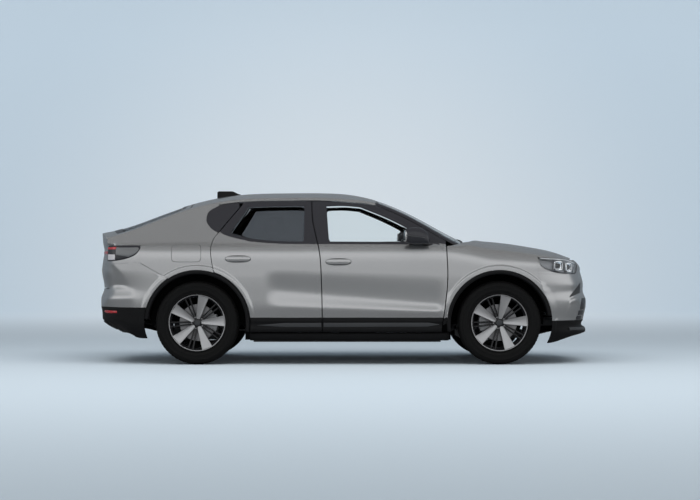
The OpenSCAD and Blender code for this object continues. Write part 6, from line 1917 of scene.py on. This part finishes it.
    def brake(self) -> None:
        """Brake disc with its bell, and a caliper that stays with the axle."""
        self.round("brake_disc", STEEL, [(62, -30), (84, -30), (86, -16), (168, -16), (170, -13), (170, 5),
                                         (168, 8), (90, 8),
                                         (84, 24), (62, 24)], 96)
        holder = "body" if self.row == "rear" else f"steer_{self.hand.word}"
        a = np.radians(np.linspace(-26, 26, 20) + (180 if self.row == "front" else 0))[:, None]
        shape = np.array([(108, -44), (150, -48), (186, -44), (192, -4), (186, 34), (150, 38), (112, 32)],
                         float)
        arcs = np.stack([shape[None, :, 0] * np.cos(a), shape[None, :, 0] * np.sin(a),
                         shape[None, :, 1] + 0 * a], axis=-1)
        item = Piece(f"caliper_{self.tag}", holder, CASTING).put(*closed_loft(self.place(arcs)), angle=30)
        round_edges(item, 4.0)


@dataclass
class Cabin:
    """Seats with soft pads, dashboard screen, inner lining and wipers."""

    body: str = "body"
    seat_y: float = 370.0
    seat_width: float = 500.0

    def build(self) -> None:
        """Makes the fittings of the cabin."""
        for hand in HANDS:
            self.seat(f"front_{hand.word}", 120.0, hand.value * self.seat_y, self.seat_width, 1,
                      hand is Hand.LEFT)
        self.seat("rear", -740.0, 0.0, 1240.0, 3, False)
        self.screen()
        self.lining()
        self.wipers()

    def pad(self, name: str, section: Sequence[tuple[float, float]], x: float, y: float, width: float,
            crown: float, tufts: int, first: bool) -> None:
        """One pad: a rounded closed section swept across, fuller in its middle, with sewn channels.

        Args:
            name: Name of the pad.
            section: Corner points (x, z) of its outline.
            x, y: Place of the seat.
            width: Width across.
            crown: How far the middle swells.
            tufts: Number of channels across.
            first: Whether it stands for the seats' node.
        """
        corner = np.asarray(section, float)
        loop = even_path(np.concatenate([corner, corner[:1]]), 65)[:-1]
        for _ in range(4):
            loop = (np.roll(loop, 1, 0) + 2 * loop + np.roll(loop, -1, 0)) / 4
        middle = loop.mean(axis=0)
        u = np.linspace(-1, 1, 41)[:, None, None]
        full = (1 - np.abs(u) ** 6) ** 0.25
        channel = 1 - 0.03 * np.abs(np.cos(0.5 * np.pi * tufts * u)) ** 12
        swell = (1 + crown * (1 - u * u)) * channel * mix(0.86, 1.0, full)
        flat = middle + (loop - middle)[None] * swell
        sections = np.stack([x + flat[..., 0], y + 0.5 * width * u[..., 0] + 0 * flat[..., 0], flat[..., 1]],
                            axis=-1)
        points, faces = closed_loft(sections)
        item = Piece(name, self.body, CLOTH, ("seats",) if first else ()).put(points, faces, angle=70)

    def seat(self, tag: str, x: float, y: float, width: float, places: int, first: bool) -> None:
        """Cushion, backrest and headrests of one seat."""
        cushion = [(-220, 330), (170, 330), (222, 470), (240, 560), (190, 594), (60, 585), (-120, 556),
                   (-235, 552)]
        back = [(-130, 560), (-175, 640), (-250, 880), (-322, 1120), (-345, 1160), (-392, 1150), (-398, 1090),
                (-325, 760), (-262, 600)]
        rest = [(-338, 1180), (-348, 1240), (-362, 1300), (-392, 1310), (-416, 1270), (-412, 1200),
                (-390, 1172)]
        self.pad(f"seat_cushion_{tag}", cushion, x, y, width, 0.02, 4 * places, first)
        self.pad(f"seat_back_{tag}", back, x, y, width * 0.94, 0.02, 4 * places, False)
        for k in range(places):
            dy = 0.0 if places == 1 else (k - 1) * 400.0
            self.pad(f"headrest_{tag}_{k}", rest, x, y + dy, 240.0, 0.03, 1, False)
            sides = [y + dy + s * 55 for s in (-1, 1)]
            posts = [tube(np.array([[x - 372, at, 1130], [x - 378, at, 1160], [x - 384, at, 1195]]), 6.0)
                     for at in sides]
            Piece(f"headrest_posts_{tag}_{k}", self.body, STEEL).put(*join(posts))

    def screen(self) -> None:
        """Display on the dashboard."""
        points, faces = soft_box((26, 330, 190), (654, 0, 1010), 0.22, 24)
        Piece("display", self.body, GLOSS).put(points, faces, 50)

    def lining(self) -> None:
        """Pale lining below the roof skin, between the rails."""
        x = np.linspace(285, -1405, 50)[:, None]
        u = np.linspace(-1, 1, 41)[None, :]
        y = u * (FORM.crease_y(x) - 70)
        grid = np.stack([x + 0 * u, y, FORM.roof_z(x, y) - 10 - 6 * np.abs(u) ** 4], axis=-1)
        Sheet("headlining", self.body, COATING, (), 3.0, 0.0).lay(grid)

    def wipers(self) -> None:
        """Two wiper arms at the foot of the windscreen."""
        parts = []
        for y0, y1 in ((-560, 60), (40, 620)):
            y = np.linspace(y0, y1, 30)
            x = 1150 - 62 * (y / 726) ** 2 + np.linspace(-6, -58, 30)
            path = np.stack([x, y, FORM.roof_z(x, y) + 5.0], axis=-1)
            parts.append(tube(path, 5.0, 8))
        Piece("wipers", self.body, CLAD).put(*join(parts))


def dress_frame() -> None:
    """Gives the nodes that still show the finish of their slot."""
    special = {"wheel_liners": LINER, "dashboard": CLAD, "b_pillars": GLOSS}
    slots = {row["node"]: row["material_slot"] for row in frame["record"]["subparts"]}
    for name, item in frame["nodes"].items():
        if item.hide_render:
            continue
        finish = special.get(name, CAD_FINISHES[slots[name]])
        item.data.materials.clear()
        item.data.materials.append(finish.material())


@dataclass
class Studio:
    """Pale curved backdrop, soft lights and a camera at the photo's place."""

    eye: tuple[float, float, float] = (-0.017, -16.1, 0.92)
    lens: float = 85.5
    shift: tuple[float, float] = (0.0114, 0.02)
    floor_tone: Tone = (0.50, 0.57, 0.625)
    wall_glow: Tone = (0.24, 0.29, 0.335)
    centre_glow: Tone = (0.40, 0.415, 0.425)
    centre_span: tuple[float, float] = (1.0, 9.0)
    glow_span: tuple[float, float] = (1.0, 15.0)
    mirrored_tone: Tone = (0.155, 0.157, 0.16)
    mirrored_glow: float = 0.45
    air: tuple[tuple[float, float], ...] = ((0.0, 1.0), (0.20, 0.97), (0.45, 0.32), (1.0, 0.16))

    def build(self) -> None:
        """Makes the stage, the lights and the camera."""
        self.sweep()
        self.light("top_light", (0, -3.4, 7.5), (0, 0, 0), (15.0, 7.0), 900.0, mirrored_in=False)
        self.light("near_light", (0, -21.0, 5.5), (math.radians(80), 0, 0), (24.0, 4.0), 350.0,
                   mirrored_in=False)
        self.world()
        camera = bpy.data.cameras.new("photo_camera")
        camera.lens, camera.sensor_width = self.lens, 36.0
        camera.shift_x, camera.shift_y = self.shift
        camera.clip_end = 400.0
        holder = bpy.data.objects.new("photo_camera", camera)
        holder.location = self.eye
        holder.rotation_euler = (math.pi / 2, 0, 0)
        bpy.context.scene.collection.objects.link(holder)
        bpy.context.scene.camera = holder
        bpy.context.scene.view_settings.view_transform = "Standard"

    def sweep(self) -> None:
        """Floor that curves up into a wall: a straight, a quarter circle and a straight, carried along X."""
        bend, far = 6.0, 16.0
        t = np.radians(np.linspace(-90, 0, 40))
        profile = np.concatenate([[[-60.0, 0.0]], np.stack([far + bend * np.cos(t), bend + bend * np.sin(t)],
                                                           axis=1),
                                  [[far + bend, 40.0]]])
        x = np.linspace(-70, 70, 3)[:, None]
        grid = np.stack([x + 0 * profile[None, :, 0], profile[None, :, 0] + 0 * x,
                         profile[None, :, 1] + 0 * x], axis=-1)
        mesh = bpy.data.meshes.new("backdrop")
        mesh.from_pydata(grid.reshape(-1, 3).tolist(), [], grid_faces(*grid.shape[:2]).tolist())
        mesh.polygons.foreach_set("use_smooth", np.ones(len(mesh.polygons), bool))
        mesh.materials.append(self.sweep_material())
        item = bpy.data.objects.new("backdrop", mesh)
        bpy.context.scene.collection.objects.link(item)

    def sweep_material(self) -> bpy.types.Material:
        """Pale matt backdrop that glows softly far behind the car, so that the wall is as light as the floor.

        The paint mirrors it darker than the camera sees it, as a studio's flags would do.

        Returns:
            The material, whose glow rises with the distance along Y.
        """
        made = bpy.data.materials.new("pale_sweep")
        made.use_nodes = True
        tree = made.node_tree
        link = tree.links.new
        shader = tree.nodes["Principled BSDF"]
        shader.inputs["Roughness"].default_value = 0.9
        shader.inputs["Specular IOR Level"].default_value = 0.1
        path, mirrored_ray = tree.nodes.new("ShaderNodeLightPath"), tree.nodes.new("ShaderNodeMath")
        mirrored_ray.operation, mirrored_ray.use_clamp = "SUBTRACT", True
        link(path.outputs["Is Glossy Ray"], mirrored_ray.inputs[0])
        link(path.outputs["Is Transmission Ray"], mirrored_ray.inputs[1])
        place, split = tree.nodes.new("ShaderNodeTexCoord"), tree.nodes.new("ShaderNodeSeparateXYZ")
        flat, away = tree.nodes.new("ShaderNodeVectorMath"), tree.nodes.new("ShaderNodeVectorMath")
        flat.operation, away.operation = "MULTIPLY", "LENGTH"
        flat.inputs[1].default_value = (1, 0, 1)
        link(place.outputs["Object"], split.inputs[0])
        link(place.outputs["Object"], flat.inputs[0])
        link(flat.outputs["Vector"], away.inputs[0])
        ramps = {}
        # Painted light on the backdrop: the centre ramp makes its glow brighter near the middle of the set,
        # and glossy rays see a darker tone and a weaker glow, a painted darker reflection in the car.
        for name, source, span_m, ends in (("rise", split.outputs["Y"], self.glow_span, (0, 1)),
                                           ("centre", away.outputs["Value"], self.centre_span, (1, 0)),
                                           ("dim", mirrored_ray.outputs[0], (0, 1), (1, self.mirrored_glow))):
            node = tree.nodes.new("ShaderNodeMapRange")
            node.interpolation_type = "SMOOTHSTEP"
            for key, value in zip(("From Min", "From Max", "To Min", "To Max"), (*span_m, *ends)):
                node.inputs[key].default_value = value
            link(source, node.inputs["Value"])
            ramps[name] = node.outputs["Result"]
        for target, factor, one, two in (("Base Color", mirrored_ray.outputs[0], self.floor_tone,
                                          self.mirrored_tone),
                                         ("Emission Color", ramps["centre"], self.wall_glow,
                                          self.centre_glow)):
            tone = tree.nodes.new("ShaderNodeMix")
            tone.data_type = "RGBA"
            tone.inputs["A"].default_value, tone.inputs["B"].default_value = (*one, 1), (*two, 1)
            link(factor, tone.inputs["Factor"])
            link(tone.outputs["Result"], shader.inputs[target])
        glow = tree.nodes.new("ShaderNodeMath")
        glow.operation = "MULTIPLY"
        link(ramps["rise"], glow.inputs[0])
        link(ramps["dim"], glow.inputs[1])
        link(glow.outputs[0], shader.inputs["Emission Strength"])
        return made

    def light(self, name: str, place: Sequence[float], turn: Sequence[float], size: Sequence[float],
              power: float,
              mirrored_in: bool = True) -> None:
        """Adds one soft area light.

        Args:
            name: Its name.
            place: Location in metres.
            turn: Rotation in radians.
            size: Lengths of its sides.
            power: Power in watts.
            mirrored_in: Whether the paint shows it as a highlight.
        """
        lamp = bpy.data.lights.new(name, "AREA")
        lamp.shape, lamp.size, lamp.size_y, lamp.energy = "RECTANGLE", size[0], size[1], power
        holder = bpy.data.objects.new(name, lamp)
        holder.location, holder.rotation_euler = place, turn
        holder.visible_glossy = mirrored_in
        bpy.context.scene.collection.objects.link(holder)

    def world(self) -> None:
        """Pale surroundings, light along the horizon and darker overhead."""
        world = bpy.data.worlds.new("studio_air")
        world.use_nodes = True
        tree = world.node_tree
        back = tree.nodes["Background"]
        back.inputs["Color"].default_value = (0.97, 0.985, 1.0, 1)
        place, split = tree.nodes.new("ShaderNodeTexCoord"), tree.nodes.new("ShaderNodeSeparateXYZ")
        ramp = tree.nodes.new("ShaderNodeValToRGB")
        stops = ramp.color_ramp.elements
        while len(stops) < len(self.air):
            stops.new(0.5)
        for stop, (height, level) in zip(stops, self.air):
            stop.position, stop.color = height, (level, level, level, 1)
        tree.links.new(place.outputs["Generated"], split.inputs[0])
        tree.links.new(split.outputs["Z"], ramp.inputs["Fac"])
        tree.links.new(ramp.outputs["Color"], back.inputs["Strength"])
        bpy.context.scene.world = world


def main() -> None:
    """Builds the whole car and its stage."""
    logging.basicConfig(level=logging.WARNING)
    BodyShell().build()
    for hand in HANDS:
        Door("front", hand, (-49.0, 940.0), CLEAR).build()
        Door("rear", hand, (-968.0, 966.0), TINT).build()
        Mirror(hand).build()
        Wheel("front", hand, FORM.axle_front).build()
        Wheel("rear", hand, FORM.axle_rear).build()
    for group in (Closures(), Glazing(), Lamps(), Cabin()):
        group.build()
    dress_frame()
    Studio().build()


if __name__ == "__main__":
    main()
